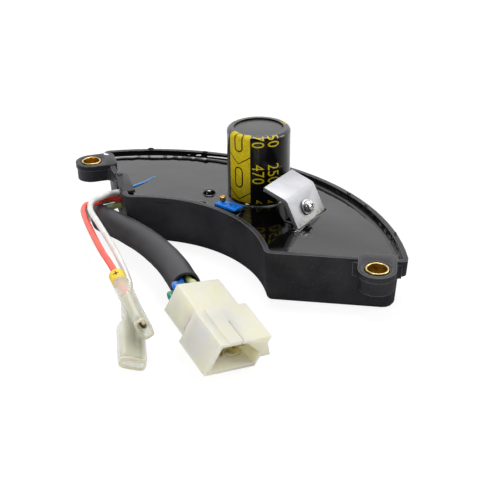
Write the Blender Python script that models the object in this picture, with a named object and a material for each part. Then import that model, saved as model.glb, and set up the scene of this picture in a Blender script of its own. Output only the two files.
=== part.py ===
"""Potted half-moon voltage regulator for an alternator.

A moulded tray with two bolt ears holds a circuit board under black resin. A tall capacitor, a
bent heat-sink bracket with its power transistor and a multi-turn trimmer rise out of the resin.
Six wires leave one end: a sleeved harness of four to a nylon connector, and two single leads to
push-on terminals in clear sleeves. Units are metres and radians; X runs along the two bolt
holes, Y towards the outer arc, and Z is up from the flat underside.
"""

import math

import bmesh
import bpy
from mathutils import Matrix, Vector

# Clearances
GAP = 0.0003
OVERCUT = 0.001

# Moulded tray
HOLE_SPACING = 0.132
BODY_OUTER_R = 0.0881
OUTER_CENTRE_Y = -0.0446
INNER_R = 0.046
INNER_CENTRE_Y = -0.046
END_ANGLE = math.radians(31.7)
END_OFFSET = -0.02835
RIM_HEIGHT = 0.0186
WALL = 0.0016
FLOOR = 0.0018
DRAFT = 0.001
BOTTOM_EDGE_R = 0.002
OUTER_CORNER_R = 0.005
LIP_CORNER_R = 0.0022
INNER_CORNER_R = 0.003
LIP_OUT = 0.0018
LIP_HEIGHT = 0.0055
LIP_BEVEL = 0.0012

# Ears and their bushes
EAR_R = 0.006
EAR_ABOVE_RIM = 0.0006
EAR_THICKNESS = 0.0066
EAR_PLATE = 0.0018
EAR_STEP = 0.00035
EAR_ROOT_R = 0.002
PAD_REACH = 0.003
PAD_CORNER_R = 0.0022
BUSH_R = 0.0037
BUSH_WALL = 0.0006
BUSH_PROUD = 0.0002
SEAT_R = 0.0047
SEAT_DEPTH = 0.0003

# Board and potting
BOARD_THICKNESS = 0.0016
BOARD_MARGIN = 0.001
RESIN_BELOW_RIM = 0.002
BLOB_PLACES = ((-0.0144, 0.0116), (-0.0104, 0.003))
BLOB_RADII = (0.0024, 0.0018)
BLOB_HEIGHTS = (0.0013, 0.0009)

# Electrolytic capacitor
CAP_X = -0.0004
CAP_Y = 0.0232
CAN_R = 0.0107
CAP_TOP = 0.0423
SLEEVE_FILM = 0.0003
SLEEVE_SHOULDER = 0.0013
SLEEVE_LIP_R = 0.0088
CAN_SHOULDER = 0.001
TOP_DISC_R = 0.0097
TOP_DISC_T = 0.0003
BUNG_R = 0.0088
BUNG_H = 0.0018
LEAD_R = 0.0004
LEAD_PITCH = 0.01

# Heat-sink bracket
FOOT_X = 0.0279
FOOT_Y = 0.0179
FOOT_HEADING = math.radians(97.1)
BRACKET_WIDTH = 0.0182
SHEET = 0.0015
LEG_LEAN = math.radians(26.9)
LEG_LENGTH = 0.0109
FOOT_DEPTH = 0.003
FLANGE_RISE = math.radians(16.9)
FLANGE_LENGTH = 0.0093
BEND_INNER_R = 0.001

# Screw, washer, nut and transistor on the bracket
SCREW_ALONG = -0.0006
SCREW_UP = 0.0051
SHANK_R = 0.0014
HEAD_R = 0.0023
HEAD_H = 0.0017
CROSS_W = 0.0007
CROSS_L = 0.0025
CROSS_DEPTH = 0.001
WASHER_R = 0.0027
WASHER_T = 0.0005
NUT_FLATS = 0.005
NUT_H = 0.0024
THREAD_PROUD = 0.0008
TAB_WIDTH = 0.0102
TAB_T = 0.0013
TAB_ABOVE_HOLE = 0.0028
TAB_BELOW_HOLE = 0.0034
CASE_LENGTH = 0.0088
CASE_T = 0.0045
PIN_W = 0.0008
PIN_T = 0.0005
PIN_PITCH = 0.00254

# Trimmer
TRIM_X = 0.0007
TRIM_Y = 0.0054
TRIM_HEADING = math.radians(3.0)
TRIM_LENGTH = 0.0095
TRIM_WIDTH = 0.0046
TRIM_PROUD = 0.0023
TRIM_EDGE = 0.0003
TRIM_SCREW_X = -0.0035
TRIM_SCREW_Y = 0.0011
TRIM_HEAD_R = 0.0011
TRIM_HEAD_H = 0.0014
TRIM_SLOT_W = 0.0004
TRIM_SLOT_D = 0.0005
TRIM_STEM_R = 0.0006
TRIM_STEM_L = 0.0035

# Parts on the board, under the resin: centre x and y, heading, length, width, height
BRIDGE = (0.045, 0.0125, math.radians(20.0), 0.015, 0.0066, 0.0075)
CHIP = (-0.0225, 0.0175, math.radians(-8.0), 0.0095, 0.0064, 0.0033)
FILM_CAP = (-0.0425, 0.0125, math.radians(-30.0), 0.012, 0.005, 0.0085)
BODY_EDGE = 0.0004

# Wire exit: distances along the left end face from its foot point, and heights
EXIT_NEAR = 0.0335
EXIT_FAR = 0.0393
EXIT_FLOOR = 0.0063
EXIT_PLACES = {
    "white_lead": (0.0352, 0.0141),
    "red_lead": (0.0352, 0.0113),
    "yellow_wire": (0.0352, 0.0086),
    "blue_wire": (0.0376, 0.0129),
    "green_wire": (0.0376, 0.0103),
    "grey_wire": (0.0376, 0.0078),
}
COVER_NEAR = 0.0258
COVER_FAR = 0.0420
COVER_REACH = 0.0048
COVER_T = 0.0013
COVER_SUNK = 0.0001
BOSS_R = 0.0011
BOSS_H = 0.0007
BOSS_DEPTH = 0.0019
PIT_NEAR = 0.0220
PIT_REACH = 0.0041
PIT_DEPTH = 0.0035

# Wires, sleeve and marker
WIRE_R = 0.00105
LANE_R = 0.0020
LANE_TWIST = math.radians(-90.0)
LANE_TURNS = {"blue_wire": 1.5, "green_wire": 0.5, "grey_wire": -0.5, "yellow_wire": -1.5}
SLEEVE_R = 0.0047
SLEEVE_WALL = 0.0007
SLEEVE_CUT = 0.006
SLEEVE_LONG_SIDE = math.radians(150.0)
MARKER_R = 0.0025
MARKER_WALL = 0.0007
MARKER_LENGTH = 0.0042

# Routes of the cords, chosen by hand, before the origin is moved to the middle of the underside
SLEEVE_ROUTE = (
    (-0.0488, -0.0149, 0.0072),
    (-0.0460, -0.0153, 0.0073),
    (-0.0418, -0.0162, 0.0078),
    (-0.0330, -0.0177, 0.0088),
    (-0.0223, -0.0197, 0.0098),
    (-0.0108, -0.0225, 0.0105),
    (0.0005, -0.0267, 0.0114),
    (0.0102, -0.0315, 0.0124),
    (0.0216, -0.0382, 0.0136),
)
HARNESS_LOOPS = {
    "blue_wire": ((-0.0488, -0.0086, 0.0114), (-0.0509, -0.0118, 0.0096), (-0.0502, -0.0144, 0.0089)),
    "green_wire": ((-0.0507, -0.0074, 0.0091), (-0.0537, -0.0108, 0.0089), (-0.0532, -0.0159, 0.0087)),
    "grey_wire": ((-0.0507, -0.0074, 0.0066), (-0.0534, -0.0108, 0.0061), (-0.0530, -0.0158, 0.0058)),
    "yellow_wire": ((-0.0480, -0.0090, 0.0072), (-0.0508, -0.0117, 0.0063), (-0.0502, -0.0143, 0.0058)),
}
RED_ROUTE = (
    (-0.0463, -0.0086, 0.0119),
    (-0.0460, -0.0122, 0.0130),
    (-0.0450, -0.0161, 0.0135),
    (-0.0457, -0.0184, 0.0137),
    (-0.0466, -0.0197, 0.0136),
    (-0.0457, -0.0217, 0.0135),
    (-0.0429, -0.0243, 0.0135),
    (-0.0375, -0.0278, 0.0136),
    (-0.0301, -0.0321, 0.0138),
    (-0.0218, -0.0367, 0.0140),
    (-0.0137, -0.0409, 0.0141),
    (-0.0064, -0.0443, 0.0142),
)
WHITE_ROUTE = (
    (-0.0451, -0.0098, 0.0148),
    (-0.0438, -0.0140, 0.0156),
    (-0.0430, -0.0176, 0.0162),
    (-0.0420, -0.0207, 0.0165),
    (-0.0399, -0.0234, 0.0165),
    (-0.0368, -0.0258, 0.0164),
    (-0.0322, -0.0281, 0.0162),
    (-0.0276, -0.0302, 0.0160),
    (-0.0231, -0.0322, 0.0154),
    (-0.0189, -0.0339, 0.0146),
    (-0.0125, -0.0366, 0.0134),
    (-0.0068, -0.0392, 0.0118),
    (-0.0027, -0.0410, 0.0100),
    (0.0009, -0.0431, 0.0084),
)

# Nylon connector: rear left lower corner of its hood, heading, nose-down tilt and roll
HOOD_AT = (0.0367, -0.0571, 0.0097)
HOOD_HEADING = math.radians(-14.3)
HOOD_TILT = math.radians(19.1)
HOOD_ROLL = math.radians(-16.5)
HOOD_LENGTH = 0.0138
HOOD_WIDTH = 0.0193
HOOD_HEIGHT = 0.0123
HOOD_WALL = 0.0012
BLOCK_LENGTH = 0.0118
BLOCK_SIDE_STEP = 0.0017
BLOCK_HEIGHT_STEP = 0.001
MOUTH_DEPTH = 0.0128
KEY_START = 0.0105
KEY_END = 0.006
RIDGE_NEAR = 0.003
RIDGE_FAR = 0.0078
RIDGE_H = 0.0005
SLIT_W = 0.0007
SLIT_LENGTH = 0.0082
LATCH_OUT = 0.0042
LATCH_LOW = 0.0038
LATCH_HIGH = 0.0103
LATCH_LENGTH = 0.005
CONTACT_SIDE = (0.0055, 0.0125)
CONTACT_HEIGHT = (0.003, 0.0069)
BLADE_WIDTH = 0.0058
BLADE_T = 0.0008
BLADE_SET_BACK = 0.003
BLADE_ROOT = 0.003
BLADE_TIP = 0.0012
BLADE_HOLE_R = 0.0009
ENTRY_DEPTH = 0.0055
ENTRY_RUN = 0.004

# Push-on terminals: where the rear end and the mouth of each sleeve lie, and its roll
RED_TERMINAL = ((0.0052, -0.0503, 0.0141), (0.0261, -0.0604, 0.0110), math.radians(-65.0))
WHITE_TERMINAL = ((0.0068, -0.0489, 0.0068), (0.0283, -0.0679, 0.0038), math.radians(-20.0))
BOOT_WIDTH = 0.0084
BOOT_HEIGHT = 0.0044
BOOT_BARREL_R = 0.0026
BOOT_WALL = 0.0006
BOOT_NECK = 0.4
RECEPTACLE_WIDTH = 0.0062
RECEPTACLE_HEIGHT = 0.0022
RECEPTACLE_LENGTH = 0.0082
RECEPTACLE_WALL = 0.0004
RECEPTACLE_SET_BACK = 0.0034
CRIMP_R = 0.0014
CRIMP_LENGTH = 0.0052

# Numbers of segments
ARC_STEPS = 16
FILLET_STEPS = 4
ROUND_STEPS = 40
SMALL_STEPS = 20
TUBE_STEPS = 16
SLEEVE_RINGS = 16

# Values that follow
LIP_BOTTOM = RIM_HEIGHT - LIP_HEIGHT
BOARD_TOP = FLOOR + GAP + BOARD_THICKNESS
ABOVE_BOARD = BOARD_TOP + GAP
EAR_TOP = RIM_HEIGHT + EAR_ABOVE_RIM
EAR_BOTTOM = EAR_TOP - EAR_THICKNESS
RESIN_LEVEL = RIM_HEIGHT - RESIN_BELOW_RIM
TRIM_TOP = RESIN_LEVEL + TRIM_PROUD
END_NORMAL = Vector((-math.sin(END_ANGLE), math.cos(END_ANGLE)))
END_ALONG = Vector((math.cos(END_ANGLE), math.sin(END_ANGLE)))
EAR_STANDOFF = END_OFFSET - END_NORMAL.x * HOLE_SPACING / 2
SLEEVED_R = CAN_R + GAP + SLEEVE_FILM


def clear_scene():
    for obj in list(bpy.data.objects):
        bpy.data.objects.remove(obj, do_unlink=True)


def make_material(name, color, roughness, metallic=0.0):
    material = bpy.data.materials.new(name)
    material.use_nodes = True
    shader = material.node_tree.nodes["Principled BSDF"]
    shader.inputs["Base Color"].default_value = (*color, 1.0)
    shader.inputs["Roughness"].default_value = roughness
    shader.inputs["Metallic"].default_value = metallic
    return material


def circle(radius, steps, z=0.0, x=0.0, y=0.0):
    angles = [2 * math.pi * i / steps for i in range(steps)]
    return [Vector((x + radius * math.cos(a), y + radius * math.sin(a), z)) for a in angles]


def arc(centre, radius, start, end, steps):
    angles = [start + (end - start) * i / steps for i in range(steps + 1)]
    return [Vector((centre[0] + radius * math.cos(a), centre[1] + radius * math.sin(a))) for a in angles]


def lift(outline, z):
    return [Vector((p.x, p.y, z)) for p in outline]


def loft(rings, loop=False):
    """Skin over rings that have the same number of points; a loop of rings makes a tube wall."""
    mesh = bmesh.new()
    rows = [[mesh.verts.new(p) for p in ring] for ring in rings]
    pairs = list(zip(rows, rows[1:]))
    if loop:
        pairs.append((rows[-1], rows[0]))
    for low, high in pairs:
        for i in range(len(low)):
            j = (i + 1) % len(low)
            mesh.faces.new((low[i], low[j], high[j], high[i]))
    if not loop:
        mesh.faces.new(list(reversed(rows[0])))
        mesh.faces.new(rows[-1])
    bmesh.ops.recalc_face_normals(mesh, faces=mesh.faces)
    return mesh


def prism(outline, low, high):
    return loft([lift(outline, low), lift(outline, high)])


def turned(profile, steps, loop=False):
    """Solid turned about Z from (radius, height) points, or a ring if the profile is a loop."""
    return loft([circle(radius, steps, z) for radius, z in profile], loop)


def box(low, high):
    corners = [(low[0], low[1]), (high[0], low[1]), (high[0], high[1]), (low[0], high[1])]
    return prism([Vector(c) for c in corners], low[2], high[2])


def rounded_box(length, width, low, high, edge):
    mesh = box((-length / 2, -width / 2, low), (length / 2, width / 2, high))
    bmesh.ops.bevel(mesh, geom=mesh.edges[:], offset=edge, segments=2, profile=0.5, affect="EDGES")
    return mesh


def shade(data, angle):
    """Smooth shading, but a face whose edges are all sharp stays flat, so that Booleans leave it flat."""
    data.shade_smooth()
    data.set_sharp_from_angle(angle=angle)
    for face in data.polygons:
        edges = [data.loops[i].edge_index for i in face.loop_indices]
        face.use_smooth = not all(data.edges[i].use_edge_sharp for i in edges)


def add_object(name, mesh, material, matrix=None, smooth_angle=math.radians(35.0)):
    data = bpy.data.meshes.new(name)
    mesh.to_mesh(data)
    mesh.free()
    shade(data, smooth_angle)
    obj = bpy.data.objects.new(name, data)
    bpy.context.scene.collection.objects.link(obj)
    data.materials.append(material)
    obj.parent = ROOT
    obj.matrix_local = matrix or Matrix.Identity(4)
    return obj


def add_helper(name, mesh, matrix=None):
    obj = add_object(name, mesh, HELPER_MATERIAL, matrix)
    obj.hide_render = True
    obj.display_type = "WIRE"
    return obj


def combine(obj, other, operation):
    modifier = obj.modifiers.new(f"{operation.lower()} {other.name}", "BOOLEAN")
    modifier.operation = operation
    modifier.solver = "EXACT"
    modifier.object = other


def cut(obj, name, mesh, matrix=None):
    combine(obj, add_helper(name, mesh, matrix), "DIFFERENCE")


def join(obj, name, mesh, matrix=None):
    combine(obj, add_helper(name, mesh, matrix), "UNION")


def placed(x, y, z=0.0, heading=0.0):
    return Matrix.Translation((x, y, z)) @ Matrix.Rotation(heading, 4, "Z")


def on_end(side, along, depth, z=0.0):
    """Point by its place on an end face: along it, inwards from it, and up."""
    flat = END_NORMAL * (END_OFFSET + depth) + END_ALONG * along
    return Vector((side * flat.x, flat.y, z))


def end_frame(side, along, depth, z=0.0):
    """Frame on an end face with X along it and Y inwards."""
    return Matrix.Translation(on_end(side, along, depth, z)) @ Matrix.Rotation(side * END_ANGLE, 4, "Z")


def crescent(inset=0.0, lip=0.0, corner=OUTER_CORNER_R):
    """Half-moon outline, anticlockwise, drawn in by inset; lip pushes out only the outer arc."""
    outer_r = BODY_OUTER_R + lip - inset
    inner_r = INNER_R + inset
    outer_fillet = max(corner - inset, 3 * GAP)
    inner_fillet = max(INNER_CORNER_R - inset, 3 * GAP)
    edge = END_OFFSET + inset
    outer_centre = Vector((0.0, OUTER_CENTRE_Y))
    inner_centre = Vector((0.0, INNER_CENTRE_Y))

    def fillet_centre(centre, reach, radius):
        off = edge + radius - END_NORMAL.dot(centre)
        along = END_ALONG.dot(centre) + math.sqrt(reach**2 - off**2)
        return END_NORMAL * (edge + radius) + END_ALONG * along

    inner_corner = fillet_centre(inner_centre, inner_r + inner_fillet, inner_fillet)
    outer_corner = fillet_centre(outer_centre, outer_r - outer_fillet, outer_fillet)
    face_angle = math.atan2(-END_NORMAL.y, -END_NORMAL.x)
    to_inner = inner_corner - inner_centre
    to_outer = outer_corner - outer_centre
    inner_angle = math.atan2(to_inner.y, to_inner.x)
    outer_angle = math.atan2(to_outer.y, to_outer.x)
    half = arc(inner_centre, inner_r, math.pi / 2, inner_angle, ARC_STEPS)[:-1]
    half += arc(inner_corner, inner_fillet, inner_angle - math.pi, face_angle, FILLET_STEPS)
    half += arc(outer_corner, outer_fillet, face_angle, outer_angle, FILLET_STEPS)
    half += arc(outer_centre, outer_r, outer_angle, math.pi / 2, ARC_STEPS)[1:]
    other = [Vector((-p.x, p.y)) for p in reversed(half)]
    return half + other[1:-1]


def drafted(z):
    return DRAFT * (1 - z / RIM_HEIGHT)


def build_origin():
    """Empty that puts the origin under the middle of the tray, lip and ears."""
    outline = crescent(lip=LIP_OUT, corner=LIP_CORNER_R)
    ear_edge = HOLE_SPACING / 2 + EAR_R
    middle = (min(p.y for p in outline) + max(p.y for p in outline)) / 2
    assert ear_edge > max(p.x for p in outline)
    root = bpy.data.objects.new("regulator_origin", None)
    bpy.context.scene.collection.objects.link(root)
    root.location = (0.0, -middle, 0.0)
    return root


def ear_outline(radius, reach, root):
    """Nose round the hole, straight sides, and hollow fillets where it meets the end face."""
    points = arc((0.0, 0.0), radius, math.pi, 2 * math.pi, SMALL_STEPS)
    if root:
        face = EAR_STANDOFF
        centre = (radius + EAR_ROOT_R, face - EAR_ROOT_R)
        right = arc(centre, EAR_ROOT_R, math.pi, math.pi / 2, FILLET_STEPS)
        points += right
        points += [Vector((radius + EAR_ROOT_R, reach)), Vector((-radius - EAR_ROOT_R, reach))]
        points += [Vector((-p.x, p.y)) for p in reversed(right)]
    else:
        corner = (radius - PAD_CORNER_R, reach - PAD_CORNER_R)
        right = arc(corner, PAD_CORNER_R, 0.0, math.pi / 2, FILLET_STEPS)
        points += right + [Vector((-p.x, p.y)) for p in reversed(right)]
    return points


def tray_body():
    rings = []
    for i in range(FILLET_STEPS + 1):
        angle = math.pi / 2 * i / FILLET_STEPS
        z = BOTTOM_EDGE_R * (1 - math.cos(angle))
        rings.append(lift(crescent(BOTTOM_EDGE_R * (1 - math.sin(angle)) + drafted(z)), z))
    under_lip = LIP_BOTTOM - LIP_BEVEL
    rings.append(lift(crescent(drafted(under_lip)), under_lip))
    rings.append(lift(crescent(drafted(LIP_BOTTOM), LIP_OUT, LIP_CORNER_R), LIP_BOTTOM))
    rings.append(lift(crescent(0.0, LIP_OUT, LIP_CORNER_R), RIM_HEIGHT))
    return loft(rings)


def tray_inside(clearance, low, high):
    """Space inside the walls from low to high, smaller all round by a clearance."""
    inset = WALL + clearance
    step_top = LIP_BOTTOM + LIP_OUT
    rings = [lift(crescent(inset + drafted(low)), low)]
    rings.append(lift(crescent(inset + drafted(LIP_BOTTOM)), LIP_BOTTOM))
    rings.append(lift(crescent(inset + drafted(step_top), LIP_OUT, LIP_CORNER_R), step_top))
    rings.append(lift(crescent(inset, LIP_OUT, LIP_CORNER_R), high))
    return loft(rings)


def build_housing(material):
    housing = add_object("housing", tray_body(), material)
    cut(housing, "tray_inside", tray_inside(0.0, FLOOR, RIM_HEIGHT + OVERCUT))
    plate_bottom = EAR_TOP - EAR_PLATE
    for side, name in ((-1, "left"), (1, "right")):
        hole = placed(side * HOLE_SPACING / 2, 0.0, 0.0, side * END_ANGLE)
        block = prism(ear_outline(EAR_R - EAR_STEP, EAR_STANDOFF + WALL / 2, True), EAR_BOTTOM, plate_bottom)
        plate = prism(ear_outline(EAR_R, EAR_STANDOFF + PAD_REACH, False), plate_bottom - OVERCUT / 5, EAR_TOP)
        join(housing, f"ear_block_{name}", block, hole)
        join(housing, f"ear_plate_{name}", plate, hole)
        bore = BUSH_R + GAP
        seat = EAR_TOP - SEAT_DEPTH
        steps = ((bore, EAR_BOTTOM - OVERCUT), (bore, seat), (SEAT_R, seat), (SEAT_R, EAR_TOP + OVERCUT))
        cut(housing, f"ear_bore_{name}", turned(steps, ROUND_STEPS), hole)
    above = RIM_HEIGHT + OVERCUT
    cut(housing, "exit_notch", left_box((EXIT_NEAR, -WALL, EXIT_FLOOR), (EXIT_FAR, WALL * 2, above)), left_end())
    seat = RIM_HEIGHT - COVER_SUNK - COVER_T - GAP
    cut(housing, "cover_recess", left_box((COVER_NEAR - GAP, -WALL, seat), (COVER_FAR + GAP, WALL * 2, above)), left_end())


def left_end():
    """Frame on the left end face: X along it, from the outer arc, and Y inwards."""
    return end_frame(-1, 0.0, 0.0)


def left_box(low, high):
    """Box by its distances along the left end face, its depth and its height."""
    return box((-high[0], low[1], low[2]), (-low[0], high[1], high[2]))


def build_bushes(material):
    low = EAR_BOTTOM - BUSH_PROUD
    high = EAR_TOP + BUSH_PROUD
    bevel = BUSH_WALL / 3
    inner = BUSH_R - BUSH_WALL
    profile = [
        (BUSH_R - bevel, low),
        (BUSH_R, low + bevel),
        (BUSH_R, high - bevel),
        (BUSH_R - bevel, high),
        (inner + bevel, high),
        (inner, high - bevel),
        (inner, low + bevel),
        (inner + bevel, low),
    ]
    for side, name in ((-1, "left"), (1, "right")):
        add_object(f"bush_{name}", turned(profile, ROUND_STEPS, loop=True), material, placed(side * HOLE_SPACING / 2, 0.0))


def build_cover(material):
    """Bar over the wire notch, sunk level with the rim, with a tongue down onto the wires."""
    top = RIM_HEIGHT - COVER_SUNK
    under = top - COVER_T
    bar = left_box((COVER_NEAR, GAP, under), (COVER_FAR, COVER_REACH, top))
    bmesh.ops.bevel(bar, geom=bar.edges[:], offset=GAP, segments=1, affect="EDGES")
    cover = add_object("wire_exit_cover", bar, material, left_end())
    tongue_low = EXIT_PLACES["white_lead"][1] + WIRE_R + GAP
    tongue = left_box((EXIT_NEAR + GAP, GAP * 1.5, tongue_low), (EXIT_FAR - GAP, WALL - GAP, under + COVER_T / 2))
    join(cover, "cover_tongue", tongue, left_end())
    boss = turned(((BOSS_R, top - COVER_T / 2), (BOSS_R, top + BOSS_H)), SMALL_STEPS)
    join(cover, "cover_boss", boss, left_end() @ Matrix.Translation((-(COVER_FAR - BOSS_R), BOSS_DEPTH, 0.0)))


def board_part_frame(part):
    x, y, heading = part[:3]
    return placed(x, y, 0.0, heading)


def board_part_mesh(part, clearance=0.0):
    length, width, height = part[3:]
    grown = (length + 2 * clearance, width + 2 * clearance)
    if clearance:
        half = Vector((grown[0] / 2, grown[1] / 2))
        return box((-half.x, -half.y, ABOVE_BOARD - OVERCUT), (half.x, half.y, ABOVE_BOARD + height + clearance))
    return rounded_box(*grown, ABOVE_BOARD, ABOVE_BOARD + height, BODY_EDGE)


def build_board(material):
    inset = WALL + DRAFT + BOARD_MARGIN
    low = FLOOR + GAP
    board = add_object("circuit_board", prism(crescent(inset), low, BOARD_TOP), material)
    for side in (-1, 1):
        x = CAP_X + side * LEAD_PITCH / 2
        hole = turned(((LEAD_R + GAP, low - OVERCUT), (LEAD_R + GAP, BOARD_TOP + OVERCUT)), SMALL_STEPS // 2)
        cut(board, f"lead_hole_{side}", hole, placed(x, CAP_Y))
    return board


def build_board_parts(case, film):
    add_object("rectifier_bridge", board_part_mesh(BRIDGE), case, board_part_frame(BRIDGE))
    add_object("control_chip", board_part_mesh(CHIP), case, board_part_frame(CHIP))
    add_object("film_capacitor", board_part_mesh(FILM_CAP), film, board_part_frame(FILM_CAP))


def leg_frame():
    """Frame on the bracket's front face: X along its width, Y up the leg, Z out of the face."""
    width = Vector((math.cos(FOOT_HEADING), math.sin(FOOT_HEADING), 0.0))
    back = Vector((-width.y, width.x, 0.0))
    up = back * math.sin(LEG_LEAN) + Vector((0, 0, 1)) * math.cos(LEG_LEAN)
    out = width.cross(up)
    frame = Matrix((width, up, out)).transposed().to_4x4()
    frame.translation = (FOOT_X, FOOT_Y, RESIN_LEVEL)
    return frame


def sheet_profile(clearance=0.0):
    """Side view of the bent sheet: distance up the leg, and out of its front face."""
    turn = math.pi / 2 - LEG_LEAN - FLANGE_RISE
    inner = BEND_INNER_R - clearance
    outer = BEND_INNER_R + SHEET + clearance
    bend = Vector((LEG_LENGTH - outer * math.tan(turn / 2), -SHEET - BEND_INNER_R))
    along = Vector((math.cos(turn), -math.sin(turn)))
    across = Vector((math.sin(turn), math.cos(turn)))
    foot = -FOOT_DEPTH - clearance
    reach = FLANGE_LENGTH - outer * math.tan(turn / 2)
    front = [bend + Vector((math.sin(a), math.cos(a))) * outer for a in steps_to(turn)]
    rear = [bend + Vector((math.sin(a), math.cos(a))) * inner for a in steps_to(turn)]
    tip = bend + along * reach
    outline = [Vector((foot, clearance))] + front
    outline += [tip + across * outer, tip + across * inner]
    outline += list(reversed(rear)) + [Vector((foot, -SHEET - clearance))]
    return outline


def steps_to(angle):
    return [angle * i / FILLET_STEPS for i in range(FILLET_STEPS + 1)]


def sheet_mesh(clearance=0.0):
    half = BRACKET_WIDTH / 2 + clearance
    profile = sheet_profile(clearance)
    return loft([[Vector((x, p.x, p.y)) for p in profile] for x in (-half, half)])


def at_screw(depth=0.0):
    return leg_frame() @ Matrix.Translation((SCREW_ALONG, SCREW_UP, depth))


def build_bracket(material):
    bracket = add_object("heat_sink_bracket", sheet_mesh(), material, leg_frame())
    hole = turned(((SHANK_R + GAP, -SHEET - OVERCUT), (SHANK_R + GAP, OVERCUT)), SMALL_STEPS)
    cut(bracket, "bracket_hole", hole, at_screw())
    return bracket


def tab_back():
    return -SHEET - GAP - TAB_T


def build_screw(material):
    seat = GAP + WASHER_T + GAP
    tip = tab_back() - GAP - NUT_H - THREAD_PROUD
    crown = seat + HEAD_H
    profile = [
        (SHANK_R * 0.7, tip),
        (SHANK_R, tip + SHANK_R * 0.3),
        (SHANK_R, seat),
        (HEAD_R, seat),
        (HEAD_R, seat + HEAD_H * 0.55),
        (HEAD_R * 0.86, crown - HEAD_H * 0.15),
        (HEAD_R * 0.55, crown),
    ]
    screw = add_object("bracket_screw", turned(profile, SMALL_STEPS), material, at_screw())
    for name, size in (("a", (CROSS_L, CROSS_W)), ("b", (CROSS_W, CROSS_L))):
        blade = box((-size[0] / 2, -size[1] / 2, crown - CROSS_DEPTH), (size[0] / 2, size[1] / 2, crown + OVERCUT))
        cut(screw, f"cross_{name}", blade, at_screw())


def build_washer_and_nut(material):
    hole = SHANK_R + GAP
    low, high = GAP, GAP + WASHER_T
    washer = turned(((hole, low), (WASHER_R, low), (WASHER_R, high), (hole, high)), SMALL_STEPS, loop=True)
    add_object("screw_washer", washer, material, at_screw())
    top = tab_back() - GAP
    nut = prism(circle(NUT_FLATS / math.sqrt(3), 6), top - NUT_H, top)
    obj = add_object("bracket_nut", nut, material, at_screw())
    bore = turned(((hole, top - NUT_H - OVERCUT), (hole, top + OVERCUT)), SMALL_STEPS)
    cut(obj, "nut_bore", bore, at_screw())


def lead_length():
    """How far the transistor's pins run down the slope to end just above the board."""
    drop = RESIN_LEVEL - ABOVE_BOARD - GAP
    reach = drop / math.cos(LEG_LEAN) + SCREW_UP - TAB_BELOW_HOLE - CASE_LENGTH
    return reach - (SHEET + CASE_T) * math.tan(LEG_LEAN)


def transistor_boxes(clearance=0.0):
    """Tab, moulded case and pins, as boxes in the screw's frame."""
    front = -SHEET - GAP + clearance
    half = TAB_WIDTH / 2 + clearance
    case_top = -TAB_BELOW_HOLE
    case_end = case_top - CASE_LENGTH
    tab = ((-half, case_top - BODY_EDGE, tab_back() - clearance), (half, TAB_ABOVE_HOLE + clearance, front))
    case = ((-half, case_end - clearance, front - CASE_T - clearance * 2), (half, case_top + clearance, front))
    pins = []
    middle = -SHEET - GAP - CASE_T / 2
    for i in (-1, 0, 1):
        x = i * PIN_PITCH
        side = PIN_W / 2 + clearance
        low = (x - side, case_end - lead_length() - clearance, middle - PIN_T / 2 - clearance)
        pins.append((low, (x + side, case_end + BODY_EDGE, middle + PIN_T / 2 + clearance)))
    return tab, case, pins


def build_transistor(material):
    tab, case, pins = transistor_boxes()
    transistor = add_object("power_transistor", box(*case), material, at_screw())
    join(transistor, "transistor_tab", box(*tab), at_screw())
    for i, pin in enumerate(pins):
        join(transistor, f"transistor_pin_{i + 1}", box(*pin), at_screw())
    hole = turned(((SHANK_R + GAP, tab_back() - OVERCUT), (SHANK_R + GAP, -SHEET + OVERCUT)), SMALL_STEPS)
    cut(transistor, "tab_hole", hole, at_screw())


def build_resin(material):
    resin = add_object("potting_resin", tray_inside(GAP, ABOVE_BOARD, RESIN_LEVEL), material)
    well = SLEEVED_R + GAP
    span = ((well, ABOVE_BOARD - OVERCUT), (well, RESIN_LEVEL + OVERCUT))
    cut(resin, "capacitor_well", turned(span, ROUND_STEPS), placed(CAP_X, CAP_Y))
    half = Vector((TRIM_LENGTH / 2 + GAP, TRIM_WIDTH / 2 + GAP))
    pocket = box((-half.x, -half.y, ABOVE_BOARD - OVERCUT), (half.x, half.y, RESIN_LEVEL + OVERCUT))
    cut(resin, "trimmer_pocket", pocket, placed(TRIM_X, TRIM_Y, 0.0, TRIM_HEADING))
    cut(resin, "foot_slot", sheet_mesh(GAP), leg_frame())
    tab, case, pins = transistor_boxes(GAP)
    cut(resin, "case_pocket", box(case[0], (case[1][0], TAB_ABOVE_HOLE, case[1][2])), at_screw())
    for i, pin in enumerate(pins):
        cut(resin, f"pin_pocket_{i + 1}", box((pin[0][0], pin[0][1] - OVERCUT * 2, pin[0][2]), pin[1]), at_screw())
    pit = left_box((PIT_NEAR, WALL, RESIN_LEVEL - PIT_DEPTH), (COVER_NEAR + WALL, PIT_REACH, RESIN_LEVEL + OVERCUT))
    cut(resin, "corner_pit", pit, left_end())
    for name, part in (("bridge", BRIDGE), ("chip", CHIP), ("film", FILM_CAP)):
        cut(resin, f"{name}_pocket", board_part_mesh(part, GAP), board_part_frame(part))
    for i, (place, radius, height) in enumerate(zip(BLOB_PLACES, BLOB_RADII, BLOB_HEIGHTS)):
        join(resin, f"resin_blob_{i + 1}", blob(radius, height), placed(*place, RESIN_LEVEL))
    return resin


def blob(radius, height):
    """Low dome with a root sunk a little into the surface it stands on."""
    rings = [(radius, -height / 2), (radius, 0.0)]
    for i in range(1, FILLET_STEPS + 1):
        angle = math.pi / 2 * i / (FILLET_STEPS + 1)
        rings.append((radius * math.cos(angle), height * math.sin(angle)))
    return turned(rings, SMALL_STEPS)


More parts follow.
